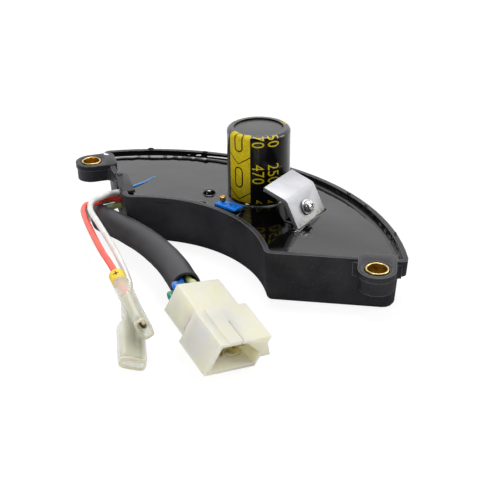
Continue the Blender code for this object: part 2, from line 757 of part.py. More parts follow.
def build_capacitor(aluminium, film, rubber, tinned, disc):
    frame = placed(CAP_X, CAP_Y)
    bung_top = ABOVE_BOARD + BUNG_H
    bung = ((BUNG_R - BODY_EDGE, ABOVE_BOARD), (BUNG_R, ABOVE_BOARD + BODY_EDGE), (BUNG_R, bung_top))
    bung_obj = add_object("capacitor_bung", turned(bung, ROUND_STEPS), rubber, frame)
    can_low = bung_top + GAP
    can_top = CAP_TOP - SLEEVE_FILM - GAP - TOP_DISC_T - GAP
    can = [(CAN_R - CAN_SHOULDER / 2, can_low), (CAN_R, can_low + CAN_SHOULDER / 2)]
    can += [(p.x, p.y) for p in arc((CAN_R - CAN_SHOULDER, can_top - CAN_SHOULDER), CAN_SHOULDER, 0.0, math.pi / 2, FILLET_STEPS)]
    can_obj = add_object("capacitor_can", turned(can, ROUND_STEPS), aluminium, frame)
    disc_low = can_top + GAP
    rim = (TOP_DISC_R, disc_low), (TOP_DISC_R, disc_low + TOP_DISC_T)
    add_object("capacitor_top_disc", turned(rim, ROUND_STEPS), disc, frame)
    inner = SLEEVED_R - SLEEVE_FILM
    shoulder = (SLEEVED_R - SLEEVE_SHOULDER, CAP_TOP - SLEEVE_SHOULDER)
    film_profile = [Vector((SLEEVED_R, can_low))]
    film_profile += arc(shoulder, SLEEVE_SHOULDER, 0.0, math.pi / 2, FILLET_STEPS)
    film_profile += [Vector((SLEEVE_LIP_R, CAP_TOP)), Vector((SLEEVE_LIP_R, CAP_TOP - SLEEVE_FILM))]
    film_profile += arc(shoulder, SLEEVE_SHOULDER - SLEEVE_FILM, math.pi / 2, 0.0, FILLET_STEPS)
    film_profile += [Vector((inner, can_low))]
    add_object("capacitor_sleeve", turned([(p.x, p.y) for p in film_profile], ROUND_STEPS, loop=True), film, frame)
    for i, side in enumerate((-1, 1)):
        socket = placed(CAP_X + side * LEAD_PITCH / 2, CAP_Y)
        lead_top = bung_top + GAP + OVERCUT
        lead = turned(((LEAD_R, FLOOR + GAP), (LEAD_R, lead_top)), SMALL_STEPS // 2)
        add_object(f"capacitor_lead_{i + 1}", lead, tinned, socket)
        hole = ((LEAD_R + GAP, ABOVE_BOARD - OVERCUT), (LEAD_R + GAP, lead_top + GAP))
        cut(bung_obj, f"bung_hole_{i + 1}", turned(hole, SMALL_STEPS // 2), socket)
        cut(can_obj, f"can_hole_{i + 1}", turned(hole, SMALL_STEPS // 2), socket)


def build_trimmer(blue, brass):
    frame = placed(TRIM_X, TRIM_Y, 0.0, TRIM_HEADING)
    body = add_object("trimmer_body", rounded_box(TRIM_LENGTH, TRIM_WIDTH, ABOVE_BOARD, TRIM_TOP, TRIM_EDGE), blue, frame)
    axis = frame @ Matrix.Translation((TRIM_SCREW_X, TRIM_SCREW_Y, TRIM_TOP))
    bore = turned(((TRIM_STEM_R + GAP, -TRIM_STEM_L - GAP), (TRIM_STEM_R + GAP, OVERCUT)), SMALL_STEPS)
    cut(body, "trimmer_bore", bore, axis)
    profile = [
        (TRIM_STEM_R, -TRIM_STEM_L),
        (TRIM_STEM_R, GAP),
        (TRIM_HEAD_R, GAP),
        (TRIM_HEAD_R, GAP + TRIM_HEAD_H * 0.85),
        (TRIM_HEAD_R * 0.85, GAP + TRIM_HEAD_H),
    ]
    screw = add_object("trimmer_screw", turned(profile, SMALL_STEPS), brass, axis)
    top = GAP + TRIM_HEAD_H
    slot = box((-TRIM_HEAD_R * 1.2, -TRIM_SLOT_W / 2, top - TRIM_SLOT_D), (TRIM_HEAD_R * 1.2, TRIM_SLOT_W / 2, top + OVERCUT))
    cut(screw, "trimmer_slot", slot, axis)


def smooth_curve(points, per_span):
    """Points read from a Catmull-Rom curve through the route's own points."""
    route = [Vector(p) for p in points]
    ends = [route[0] * 2 - route[1]] + route + [route[-1] * 2 - route[-2]]
    out = []
    for a, b, c, d in zip(ends, ends[1:], ends[2:], ends[3:]):
        for i in range(per_span):
            t = i / per_span
            out.append((b * 2 + (c - a) * t + (a * 2 - b * 5 + c * 4 - d) * t**2 + (b * 3 - a - c * 3 + d) * t**3) / 2)
    return out + [route[-1]]


def evenly(points, spacing):
    """The same line with its points spaced evenly."""
    lengths = [0.0]
    for a, b in zip(points, points[1:]):
        lengths.append(lengths[-1] + (b - a).length)
    count = max(2, round(lengths[-1] / spacing))
    out, k = [], 0
    for i in range(count + 1):
        target = lengths[-1] * i / count
        while k < len(points) - 2 and lengths[k + 1] < target:
            k += 1
        share = (target - lengths[k]) / (lengths[k + 1] - lengths[k])
        out.append(points[k].lerp(points[k + 1], share))
    return out


def add_wire(name, route, material):
    points = evenly(smooth_curve(route, 8), WIRE_R * 2 * 2.2)
    curve = bpy.data.curves.new(name, "CURVE")
    curve.dimensions = "3D"
    curve.bevel_depth = WIRE_R
    curve.bevel_resolution = 2
    curve.use_fill_caps = True
    spline = curve.splines.new("POLY")
    spline.points.add(len(points) - 1)
    for point, place in zip(spline.points, points):
        point.co = (*place, 1.0)
    obj = bpy.data.objects.new(name, curve)
    bpy.context.scene.collection.objects.link(obj)
    curve.materials.append(material)
    obj.parent = ROOT


def lane_points(points, turn):
    """Line inside a tube that follows the points, turning slowly with the bundle round its middle."""
    out = []
    for i, point in enumerate(points):
        before = points[max(i - 1, 0)]
        after = points[min(i + 1, len(points) - 1)]
        ahead = (after - before).normalized()
        across = ahead.cross(Vector((0, 0, 1))).normalized()
        angle = math.pi / 2 * turn + LANE_TWIST * i / (len(points) - 1)
        out.append(point + (across * math.cos(angle) + across.cross(ahead) * math.sin(angle)) * LANE_R)
    return out


def exit_start(name):
    """Where a wire meets the resin, and where it clears the wall."""
    along, z = EXIT_PLACES[name]
    return [on_end(-1, along, WALL + drafted(z) - GAP, z), on_end(-1, along, -WALL, z)]


def connector_frame():
    flat = Matrix.Rotation(HOOD_HEADING, 4, "Z") @ Matrix.Rotation(HOOD_TILT, 4, "Y")
    return Matrix.Translation(HOOD_AT) @ flat @ Matrix.Rotation(HOOD_ROLL, 4, "X")


def contact_points():
    return [(side, height) for height in reversed(CONTACT_HEIGHT) for side in CONTACT_SIDE]


def harness_route(name, contact):
    """From the notch, round a loop, through the sleeve and into the connector."""
    loop = [Vector(p) for p in HARNESS_LOOPS[name]]
    lane = lane_points([Vector(p) for p in SLEEVE_ROUTE], LANE_TURNS[name])[1:]
    frame = connector_frame()
    stops = (-BLOCK_LENGTH - ENTRY_RUN, -BLOCK_LENGTH - WIRE_R, ENTRY_DEPTH - BLOCK_LENGTH - GAP * 2)
    entry = [frame @ Vector((x, *contact)) for x in stops]
    return exit_start(name) + loop + lane + entry


def build_harness(colours, sleeve_material):
    left_up, right_up, left_down, right_down = contact_points()
    ends = {"blue_wire": left_up, "yellow_wire": right_up, "green_wire": left_down, "grey_wire": right_down}
    for name, contact in ends.items():
        add_wire(name, harness_route(name, contact), colours[name])
    add_object("harness_sleeve", sleeve_mesh(), sleeve_material)


def sleeve_mesh():
    """Open tube whose first end is cut on the slant, longest on the side away from the tray."""
    points = evenly(smooth_curve(SLEEVE_ROUTE, 8), SLEEVE_R * 0.95)
    outer, inner = [], []
    run = 0.0
    for i, point in enumerate(points):
        before = points[max(i - 1, 0)]
        after = points[min(i + 1, len(points) - 1)]
        run += (point - before).length
        ahead = (after - before).normalized()
        across = ahead.cross(Vector((0, 0, 1))).normalized()
        up = across.cross(ahead)
        fade = max(0.0, 1 - run / (SLEEVE_CUT * 2))
        for ring, radius in ((outer, SLEEVE_R), (inner, SLEEVE_R - SLEEVE_WALL)):
            row = []
            for k in range(TUBE_STEPS):
                angle = 2 * math.pi * k / TUBE_STEPS
                spoke = across * math.cos(angle) + up * math.sin(angle)
                slant = SLEEVE_CUT * fade * (1 - math.cos(angle - SLEEVE_LONG_SIDE)) / 2
                row.append(point + spoke * radius + ahead * slant)
            ring.append(row)
    return loft(outer + list(reversed(inner)), loop=True)


def build_leads(red, white):
    for name, route, terminal, material in (
        ("red_lead", RED_ROUTE, RED_TERMINAL, red),
        ("white_lead", WHITE_ROUTE, WHITE_TERMINAL, white),
    ):
        end = lead_end(*terminal_frame(terminal))
        add_wire(name, exit_start(name) + [Vector(p) for p in route] + end, material)


def lead_end(frame, length):
    """The last stretch of a lead, up to its crimp."""
    stop = crimp_start(length) - GAP
    return [frame @ Vector((x, 0.0, 0.0)) for x in (-MARKER_LENGTH, 0.0, stop)]


def crimp_start(length):
    return length - RECEPTACLE_SET_BACK - RECEPTACLE_LENGTH - CRIMP_LENGTH


def terminal_frame(terminal):
    """Frame at a terminal's rear end, with X towards its mouth, and the length between them."""
    rear, mouth, roll = Vector(terminal[0]), Vector(terminal[1]), terminal[2]
    ahead = (mouth - rear).normalized()
    side = Vector((0, 0, 1)).cross(ahead).normalized()
    turn = Matrix((ahead, side, ahead.cross(side))).transposed().to_4x4()
    return Matrix.Translation(rear) @ turn @ Matrix.Rotation(roll, 4, "X"), (mouth - rear).length


def oval(x, half_width, half_height, power):
    points = []
    for k in range(TUBE_STEPS):
        angle = 2 * math.pi * k / TUBE_STEPS
        c, s = math.cos(angle), math.sin(angle)
        y = half_width * math.copysign(abs(c) ** (2 / power), c)
        z = half_height * math.copysign(abs(s) ** (2 / power), s)
        points.append(Vector((x, y, z)))
    return points


def boot_sections(length, inner):
    """Round barrel at the wire, then a flat wide body open at the mouth."""
    wall = BOOT_WALL if inner else 0.0
    neck = length * BOOT_NECK
    barrel = BOOT_BARREL_R - wall
    wide, high = BOOT_WIDTH / 2 - wall, BOOT_HEIGHT / 2 - wall
    stations = (
        (0.0, barrel, barrel, 2.0),
        (neck * 0.75, barrel, barrel, 2.0),
        (neck * 1.2, wide, high, 5.0),
        (length * 0.9, wide, high, 5.0),
        (length, wide * 0.94, high * 0.9, 5.0),
    )
    return [oval(*station) for station in stations]


def build_terminal(name, terminal, metal, clear):
    frame, length = terminal_frame(terminal)
    boot = loft(boot_sections(length, False) + list(reversed(boot_sections(length, True))), loop=True)
    add_object(f"{name}_terminal_sleeve", boot, clear, frame)
    mouth = length - RECEPTACLE_SET_BACK
    low = mouth - RECEPTACLE_LENGTH
    half = Vector((RECEPTACLE_WIDTH / 2, RECEPTACLE_HEIGHT / 2))
    shell = box((low, -half.x, -half.y), (mouth, half.x, half.y))
    blade = add_object(f"{name}_terminal", shell, metal, frame)
    wall = RECEPTACLE_WALL
    cut(blade, f"{name}_socket", box((low + wall, wall - half.x, wall - half.y), (mouth + OVERCUT, half.x - wall, half.y - wall)), frame)
    gap_top = box((low - OVERCUT, -half.x / 6, half.y - wall * 2), (mouth + OVERCUT, half.x / 6, half.y + OVERCUT))
    cut(blade, f"{name}_seam", gap_top, frame)
    crimp = [[Vector((x, p.x, p.y)) for p in circle(CRIMP_R, TUBE_STEPS)] for x in (low - CRIMP_LENGTH, low + wall / 2)]
    join(blade, f"{name}_crimp", loft(crimp), frame)


def build_marker(material):
    frame = terminal_frame(RED_TERMINAL)[0]
    inner = MARKER_R - MARKER_WALL
    rear, front = -MARKER_LENGTH - GAP, -GAP
    rings = [(MARKER_R, rear), (MARKER_R, front), (inner, front), (inner, rear)]
    ring = loft([[Vector((x, p.x, p.y)) for p in circle(radius, TUBE_STEPS)] for radius, x in rings], loop=True)
    add_object("lead_marker", ring, material, frame)


def build_connector(nylon, tinned):
    frame = connector_frame()
    hood = box((0.0, 0.0, 0.0), (HOOD_LENGTH, HOOD_WIDTH, HOOD_HEIGHT))
    shell = add_object("connector_shell", hood, nylon, frame)
    low = (-BLOCK_LENGTH, BLOCK_SIDE_STEP, BLOCK_HEIGHT_STEP)
    high = (OVERCUT, HOOD_WIDTH - BLOCK_SIDE_STEP, HOOD_HEIGHT - BLOCK_HEIGHT_STEP)
    join(shell, "connector_block", box(low, high), frame)
    ridge = box((0.0, RIDGE_NEAR, HOOD_HEIGHT - OVERCUT), (HOOD_LENGTH, RIDGE_FAR, HOOD_HEIGHT + RIDGE_H))
    join(shell, "connector_ridge", ridge, frame)
    join(shell, "connector_latch", latch_mesh(), frame)
    cut(shell, "connector_mouth", mouth_mesh(), frame)
    slit_low = (HOOD_LENGTH - SLIT_LENGTH, RIDGE_FAR + GAP, HOOD_HEIGHT - HOOD_WALL * 2)
    slit_high = (HOOD_LENGTH + OVERCUT, RIDGE_FAR + GAP + SLIT_W, HOOD_HEIGHT + OVERCUT)
    cut(shell, "connector_slit", box(slit_low, slit_high), frame)
    floor = HOOD_LENGTH - MOUTH_DEPTH
    for i, (side, height) in enumerate(contact_points()):
        seat = Matrix.Translation((0.0, side, height))
        half = Vector((BLADE_WIDTH / 2, BLADE_T / 2))
        grown = half + Vector((GAP, GAP))
        rear = floor - BLADE_ROOT
        slot = box((rear - GAP, -grown.x, -grown.y), (floor + OVERCUT, grown.x, grown.y))
        cut(shell, f"contact_slot_{i + 1}", slot, frame @ seat)
        bore = WIRE_R + GAP * 1.7
        entry = [[Vector((x, p.x, p.y)) for p in circle(bore, SMALL_STEPS)] for x in (-BLOCK_LENGTH - OVERCUT, ENTRY_DEPTH - BLOCK_LENGTH)]
        cut(shell, f"wire_entry_{i + 1}", loft(entry), frame @ seat)
        blade = add_object(f"contact_blade_{i + 1}", blade_mesh(rear, half), tinned, frame @ seat)
        hole = circle(BLADE_HOLE_R, SMALL_STEPS // 2, x=HOOD_LENGTH - BLADE_SET_BACK - BLADE_WIDTH / 2)
        cut(blade, f"blade_hole_{i + 1}", prism(hole, -BLADE_T, BLADE_T), frame @ seat)


def blade_mesh(rear, half):
    tip = HOOD_LENGTH - BLADE_SET_BACK
    points = [(rear, -half.x), (tip - BLADE_TIP, -half.x), (tip, BLADE_TIP - half.x)]
    points += [(x, -y) for x, y in reversed(points)]
    return prism([Vector(p) for p in points], -half.y, half.y)


def mouth_mesh():
    """Inside of the hood, with one corner filled so that the plug goes in one way only."""
    w = HOOD_WALL
    outline = [
        (w, w),
        (HOOD_WIDTH - w, w),
        (HOOD_WIDTH - w, KEY_END),
        (KEY_START, HOOD_HEIGHT - w),
        (w, HOOD_HEIGHT - w),
    ]
    ends = (HOOD_LENGTH - MOUTH_DEPTH, HOOD_LENGTH + OVERCUT)
    return loft([[Vector((x, y, z)) for y, z in outline] for x in ends])


def latch_mesh():
    """Wedge on the side of the hood that the plug's catch snaps over."""
    root = HOOD_WIDTH - HOOD_WALL / 2
    front = [(root, LATCH_LOW), (HOOD_WIDTH + LATCH_OUT, LATCH_LOW), (root, LATCH_HIGH)]
    rear = [(root, LATCH_LOW), (HOOD_WIDTH + LATCH_OUT / 8, LATCH_LOW), (root, LATCH_HIGH)]
    ends = ((HOOD_LENGTH - LATCH_LENGTH, rear), (HOOD_LENGTH, front))
    return loft([[Vector((x, y, z)) for y, z in outline] for x, outline in ends])


clear_scene()
HELPER_MATERIAL = make_material("helper", (0.5, 0.5, 0.5), 0.5)
ROOT = build_origin()

ABS_BLACK = make_material("moulded plastic, black", (0.012, 0.012, 0.013), 0.42)
ZINC_YELLOW = make_material("yellow zinc plate", (0.62, 0.45, 0.13), 0.3, 1.0)
ZINC_BRIGHT = make_material("bright zinc plate", (0.72, 0.72, 0.7), 0.28, 1.0)
TINNED = make_material("tinned brass", (0.7, 0.68, 0.62), 0.3, 1.0)
EPOXY = make_material("potting resin, black", (0.006, 0.006, 0.007), 0.12)

build_housing(ABS_BLACK)
build_bushes(ZINC_YELLOW)
build_cover(make_material("cover plastic, black", (0.03, 0.03, 0.032), 0.45))
build_board(make_material("glass-fibre board", (0.05, 0.16, 0.06), 0.5))
build_board_parts(
    make_material("component case, black", (0.015, 0.015, 0.016), 0.5),
    make_material("film capacitor, green", (0.03, 0.2, 0.1), 0.4),
)
build_resin(EPOXY)
build_capacitor(
    make_material("drawn aluminium", (0.75, 0.75, 0.76), 0.3, 1.0),
    make_material("shrink film, black", (0.008, 0.008, 0.009), 0.18),
    make_material("rubber bung", (0.02, 0.02, 0.02), 0.7),
    TINNED,
    make_material("insulating disc, black", (0.02, 0.02, 0.022), 0.3),
)
build_bracket(make_material("bent aluminium sheet", (0.72, 0.73, 0.75), 0.38, 1.0))
build_screw(ZINC_BRIGHT)
build_washer_and_nut(ZINC_BRIGHT)
build_transistor(make_material("transistor case, black", (0.02, 0.02, 0.022), 0.5))
build_trimmer(
    make_material("trimmer blue", (0.0, 0.16, 0.72), 0.35),
    make_material("brass", (0.8, 0.45, 0.15), 0.3, 1.0),
)
build_harness(
    {
        "blue_wire": make_material("insulation, blue", (0.0, 0.2, 0.8), 0.35),
        "grey_wire": make_material("insulation, grey", (0.55, 0.56, 0.55), 0.4),
        "green_wire": make_material("insulation, green", (0.0, 0.33, 0.22), 0.35),
        "yellow_wire": make_material("insulation, yellow green", (0.62, 0.72, 0.3), 0.4),
    },
    make_material("sleeve, black", (0.025, 0.025, 0.028), 0.4),
)
build_leads(
    make_material("insulation, red", (0.85, 0.04, 0.03), 0.35),
    make_material("insulation, white", (0.82, 0.82, 0.78), 0.4),
)
CLEAR_PVC = make_material("clear sleeve", (0.85, 0.87, 0.82), 0.2)
build_terminal("red", RED_TERMINAL, TINNED, CLEAR_PVC)
build_terminal("white", WHITE_TERMINAL, TINNED, CLEAR_PVC)
build_marker(make_material("marker, yellow", (0.95, 0.7, 0.03), 0.4))
build_connector(make_material("natural nylon", (0.82, 0.8, 0.66), 0.4), TINNED)
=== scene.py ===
"""Looks of a potted half-moon voltage regulator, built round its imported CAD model.

Lengths are metres in the model's own frame: +X towards the right bolt ear, +Y towards the
outer arc, and Z up from the flat underside of the tray.
"""

import math

import bmesh
import bpy
from mathutils import Matrix, Vector, noise


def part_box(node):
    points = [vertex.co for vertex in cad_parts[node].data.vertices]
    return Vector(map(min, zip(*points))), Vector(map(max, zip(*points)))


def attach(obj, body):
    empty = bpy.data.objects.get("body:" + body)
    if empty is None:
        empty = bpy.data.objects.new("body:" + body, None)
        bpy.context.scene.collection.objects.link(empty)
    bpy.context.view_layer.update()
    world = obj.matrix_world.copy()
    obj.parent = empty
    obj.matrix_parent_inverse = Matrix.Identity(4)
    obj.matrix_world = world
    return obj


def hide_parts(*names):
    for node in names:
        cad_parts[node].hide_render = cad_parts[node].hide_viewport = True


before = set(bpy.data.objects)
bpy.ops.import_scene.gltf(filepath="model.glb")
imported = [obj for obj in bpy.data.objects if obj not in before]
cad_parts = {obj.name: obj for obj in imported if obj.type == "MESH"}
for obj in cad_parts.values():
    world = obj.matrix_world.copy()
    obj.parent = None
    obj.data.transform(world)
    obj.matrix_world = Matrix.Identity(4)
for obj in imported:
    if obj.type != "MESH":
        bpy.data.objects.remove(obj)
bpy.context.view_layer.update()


# Studio: a white sweep under soft lamps, seen by a camera at the photograph's angle.
# The world is white behind the object and dim behind the camera, as in a product studio.
def linear(code, alpha=1.0):
    """Linear colour from an sRGB hex code."""
    parts = [int(code[i : i + 2], 16) / 255 for i in (1, 3, 5)]
    return (*[c / 12.92 if c <= 0.04045 else ((c + 0.055) / 1.055) ** 2.4 for c in parts], alpha)


def add_node(tree, kind, inputs=None, stops=None, **settings):
    """One node with its settings; an input takes a value, or a link if it gets a socket."""
    node = tree.nodes.new(kind)
    for name, value in settings.items():
        setattr(node, name, value)
    for key, value in (inputs or {}).items():
        if isinstance(value, bpy.types.NodeSocket):
            tree.links.new(value, node.inputs[key])
        else:
            node.inputs[key].default_value = value
    if stops:
        ramp = node.color_ramp.elements
        while len(ramp) < len(stops):
            ramp.new(1.0)
        for element, (place, color) in zip(ramp, stops):
            element.position = place
            element.color = color
    return node


def put_in_scene(name, data):
    """New object with this data, linked to the scene."""
    obj = bpy.data.objects.new(name, data)
    bpy.context.scene.collection.objects.link(obj)
    return obj


CAMERA_PLACE = Vector((0.19126, -0.22242, 0.15683))
CAMERA_YAW = math.radians(40.91)
CAMERA_PITCH = math.radians(28.46)
CAMERA_ROLL = math.radians(-0.65)
AWAY = Vector((-math.sin(CAMERA_YAW), math.cos(CAMERA_YAW), 0.0))
SIDEWAYS = Vector((math.cos(CAMERA_YAW), math.sin(CAMERA_YAW), 0.0))

lens = bpy.data.cameras.new("photo lens")
lens.sensor_width = 36.0
lens.lens = 66.12
lens.clip_start = 0.01
camera = put_in_scene("camera", lens)
forward = AWAY * math.cos(CAMERA_PITCH) - Vector((0.0, 0.0, math.sin(CAMERA_PITCH)))
upright = SIDEWAYS.cross(forward)
turned_right = SIDEWAYS * math.cos(CAMERA_ROLL) + upright * math.sin(CAMERA_ROLL)
turned_up = turned_right.cross(forward)
camera.matrix_world = Matrix((turned_right, turned_up, -forward)).transposed().to_4x4()
camera.matrix_world.translation = CAMERA_PLACE
bpy.context.scene.camera = camera
bpy.context.scene.view_settings.view_transform = "Standard"

floor_data = bpy.data.meshes.new("floor")
FLOOR_HALF = 1.5
floor_data.from_pydata(
    [(x, y, -0.0001) for x, y in ((-1, -1), (1, -1), (1, 1), (-1, 1))], [], [(0, 1, 2, 3)]
)
floor_data.transform(Matrix.Diagonal((FLOOR_HALF, FLOOR_HALF, 1.0, 1.0)))
floor = put_in_scene("floor", floor_data)


def seen_straight(tree, ray):
    """Socket that is 1 for what the camera sees directly or through something clear."""
    seen = {0: ray.outputs["Is Camera Ray"], 1: ray.outputs["Is Transmission Ray"]}
    return add_node(tree, "ShaderNodeMath", seen, operation="MAXIMUM").outputs[0]


# White painted board: it takes the object's shadow faintly, and shows white to the camera.
board_white = bpy.data.materials.new("white painted board")
board_white.use_nodes = True
tree = board_white.node_tree
tree.nodes.clear()
ray = add_node(tree, "ShaderNodeLightPath")
spot = add_node(tree, "ShaderNodeTexCoord")
# Painted shade: seen in reflections, the board's colour darkens towards the camera side.
depth = add_node(tree, "ShaderNodeVectorMath", {0: spot.outputs["Object"], 1: AWAY}, operation="DOT_PRODUCT")
falloff = add_node(
    tree, "ShaderNodeMapRange",
    {"Value": depth.outputs["Value"], "From Min": -0.02, "From Max": 0.08, "To Min": 0.22, "To Max": 1.0},
)
painted_light = {0: ray.outputs["Is Glossy Ray"], 6: linear("#f4f4f4"), 7: falloff.outputs[0]}
tone = add_node(tree, "ShaderNodeMix", painted_light, data_type="RGBA")
paint = add_node(tree, "ShaderNodeBsdfDiffuse", {"Color": tone.outputs[2]})
shown = add_node(tree, "ShaderNodeBsdfDiffuse", {"Color": linear("#7c7c7c")})
glow = add_node(tree, "ShaderNodeEmission", {"Color": (1, 1, 1, 1), "Strength": 0.87})
lit = add_node(tree, "ShaderNodeAddShader", {0: shown.outputs[0], 1: glow.outputs[0]})
pick = {0: seen_straight(tree, ray), 1: paint.outputs[0], 2: lit.outputs[0]}
mix = add_node(tree, "ShaderNodeMixShader", pick)
add_node(tree, "ShaderNodeOutputMaterial", {"Surface": mix.outputs[0]})
floor_data.materials.append(board_white)

world = bpy.data.worlds.new("studio")
bpy.context.scene.world = world
world.use_nodes = True
tree = world.node_tree
tree.nodes.clear()
heading = add_node(tree, "ShaderNodeTexCoord")
behind = add_node(
    tree,
    "ShaderNodeVectorMath",
    {0: heading.outputs["Generated"], 1: AWAY + SIDEWAYS * 0.45},
    operation="DOT_PRODUCT",
)
studio_stops = [(0.0, linear("#1c1c1c")), (0.42, linear("#4a4a4c")), (0.62, linear("#f6f6f8"))]
studio_stops.append((1.0, (1, 1, 1, 1)))
wrapped = add_node(
    tree, "ShaderNodeMapRange", {"Value": behind.outputs["Value"], "From Min": -1.1, "From Max": 1.1}
)
studio = add_node(tree, "ShaderNodeValToRGB", {"Fac": wrapped.outputs[0]}, stops=studio_stops)
ray = add_node(tree, "ShaderNodeLightPath")
# A soft panel overhead shows in shiny things only, and lights nothing matt.
upward = add_node(tree, "ShaderNodeSeparateXYZ", {"Vector": heading.outputs["Generated"]})
panel = add_node(
    tree, "ShaderNodeMapRange",
    {"Value": upward.outputs["Z"], "From Min": 0.84, "From Max": 0.9, "To Min": 1.35, "To Max": 7.0},
)
reflected = add_node(tree, "ShaderNodeBackground", {"Color": studio.outputs[0], "Strength": panel.outputs[0]})
ambient = add_node(tree, "ShaderNodeBackground", {"Color": linear("#ffffff"), "Strength": 0.58})
seen = add_node(tree, "ShaderNodeBackground", {"Color": (1, 1, 1, 1), "Strength": 1.0})
pick = {0: ray.outputs["Is Glossy Ray"], 1: ambient.outputs[0], 2: reflected.outputs[0]}
soft = add_node(tree, "ShaderNodeMixShader", pick)
pick = {0: seen_straight(tree, ray), 1: soft.outputs[0], 2: seen.outputs[0]}
whole = add_node(tree, "ShaderNodeMixShader", pick)
add_node(tree, "ShaderNodeOutputWorld", {"Surface": whole.outputs[0]})


def add_softbox(name, place, target, size, power):
    lamp = bpy.data.lights.new(name, "AREA")
    lamp.shape = "RECTANGLE"
    lamp.size, lamp.size_y = size
    lamp.energy = power
    obj = put_in_scene(name, lamp)
    aim = (Vector(target) - Vector(place)).to_track_quat("-Z", "Y")
    obj.matrix_world = Matrix.Translation(place) @ aim.to_matrix().to_4x4()


MIDDLE = (0.0, -0.02, 0.015)
overhead = Vector(MIDDLE) + AWAY * 0.15 + Vector((0.0, 0.0, 0.75))
from_right = Vector(MIDDLE) + SIDEWAYS * 0.75 + AWAY * 0.05 + Vector((0.0, 0.0, 0.35))
from_front = Vector(MIDDLE) - AWAY * 0.55 - SIDEWAYS * 0.55 + Vector((0.0, 0.0, 0.45))
add_softbox("overhead softbox", overhead, MIDDLE, (0.28, 0.2), 2.2)
add_softbox("right softbox", from_right, MIDDLE, (0.3, 0.45), 1.8)
add_softbox("front fill", from_front, MIDDLE, (0.2, 0.16), 1.5)


# Wires: six stranded leads in PVC insulation leave the notch at the tray's left end.
# Four turn back and run through the sleeve to the connector; a red and a white one run free.
TRAY_SHIFT = Vector((0.0, -0.016375, 0.0))
END_ANGLE = math.radians(31.7)
END_OFFSET = -0.02835
END_WALL = 0.0016
END_DRAFT = 0.001
RIM_HEIGHT = 0.0186
WIRE_R = 0.00105
LANE_R = 0.0020
LANE_TWIST = math.radians(-90.0)
EXIT_PLACES = {
    "white_lead": (0.0352, 0.0141),
    "red_lead": (0.0352, 0.0113),
    "yellow_wire": (0.0352, 0.0086),
    "blue_wire": (0.0376, 0.0129),
    "green_wire": (0.0376, 0.0103),
    "grey_wire": (0.0376, 0.0078),
}
SLEEVE_ROUTE = (
    (-0.0488, -0.0149, 0.0072),
    (-0.0460, -0.0153, 0.0073),
    (-0.0418, -0.0162, 0.0078),
    (-0.0330, -0.0177, 0.0088),
    (-0.0223, -0.0197, 0.0098),
    (-0.0108, -0.0225, 0.0105),
    (0.0005, -0.0267, 0.0114),
    (0.0102, -0.0315, 0.0124),
    (0.0216, -0.0382, 0.0136),
)
HARNESS_LOOPS = {
    "blue_wire": ((-0.0488, -0.0086, 0.0114), (-0.0509, -0.0118, 0.0096), (-0.0502, -0.0144, 0.0089)),
    "green_wire": ((-0.0507, -0.0074, 0.0091), (-0.0537, -0.0108, 0.0089), (-0.0532, -0.0159, 0.0087)),
    "grey_wire": ((-0.0507, -0.0074, 0.0066), (-0.0534, -0.0108, 0.0061), (-0.0530, -0.0158, 0.0058)),
    "yellow_wire": ((-0.0480, -0.0090, 0.0072), (-0.0508, -0.0117, 0.0063), (-0.0502, -0.0143, 0.0058)),
}
LANE_TURNS = {"blue_wire": 1.5, "green_wire": 0.5, "grey_wire": -0.5, "yellow_wire": -1.5}
RED_ROUTE = (
    (-0.0463, -0.0086, 0.0119),
    (-0.0460, -0.0122, 0.0130),
    (-0.0450, -0.0161, 0.0135),
    (-0.0457, -0.0184, 0.0137),
    (-0.0466, -0.0197, 0.0136),
    (-0.0457, -0.0217, 0.0135),
    (-0.0429, -0.0243, 0.0135),
    (-0.0375, -0.0278, 0.0136),
    (-0.0301, -0.0321, 0.0138),
    (-0.0218, -0.0367, 0.0140),
    (-0.0137, -0.0409, 0.0141),
    (-0.0064, -0.0443, 0.0142),
)
WHITE_ROUTE = (
    (-0.0451, -0.0098, 0.0148),
    (-0.0438, -0.0140, 0.0156),
    (-0.0430, -0.0176, 0.0162),
    (-0.0420, -0.0207, 0.0165),
    (-0.0399, -0.0234, 0.0165),
    (-0.0368, -0.0258, 0.0164),
    (-0.0322, -0.0281, 0.0162),
    (-0.0276, -0.0302, 0.0160),
    (-0.0231, -0.0322, 0.0154),
    (-0.0189, -0.0339, 0.0146),
    (-0.0125, -0.0366, 0.0134),
    (-0.0068, -0.0392, 0.0118),
    (-0.0027, -0.0410, 0.0100),
    (0.0009, -0.0431, 0.0084),
)
HOOD_AT = Vector((0.0367, -0.0571, 0.0097)) + TRAY_SHIFT
HOOD_HEADING = math.radians(-14.3)
HOOD_TILT = math.radians(19.1)
HOOD_ROLL = math.radians(-16.5)
BLOCK_LENGTH = 0.0118
ENTRY_DEPTH = 0.0055
ENTRY_RUN = 0.004
TOUCH = 0.0003
CONTACTS = {
    "blue_wire": (0.0055, 0.0069),
    "yellow_wire": (0.0125, 0.0069),
    "green_wire": (0.0055, 0.0030),
    "grey_wire": (0.0125, 0.0030),
}
RED_TERMINAL = ((0.0052, -0.0503, 0.0141), (0.0261, -0.0604, 0.0110), math.radians(-65.0))
WHITE_TERMINAL = ((0.0068, -0.0489, 0.0068), (0.0283, -0.0679, 0.0038), math.radians(-20.0))
MARKER_LENGTH = 0.0042
RECEPTACLE_SET_BACK = 0.0034
RECEPTACLE_LENGTH = 0.0082
CRIMP_LENGTH = 0.0052


def on_end(along, depth, z):
    """Point on the left end face: along it from its foot, inwards from it, and up."""
    across = Vector((-math.sin(END_ANGLE), math.cos(END_ANGLE)))
    flat = across * (END_OFFSET + depth) + Vector((across.y, -across.x)) * along
    return Vector((-flat.x, flat.y, z)) + TRAY_SHIFT


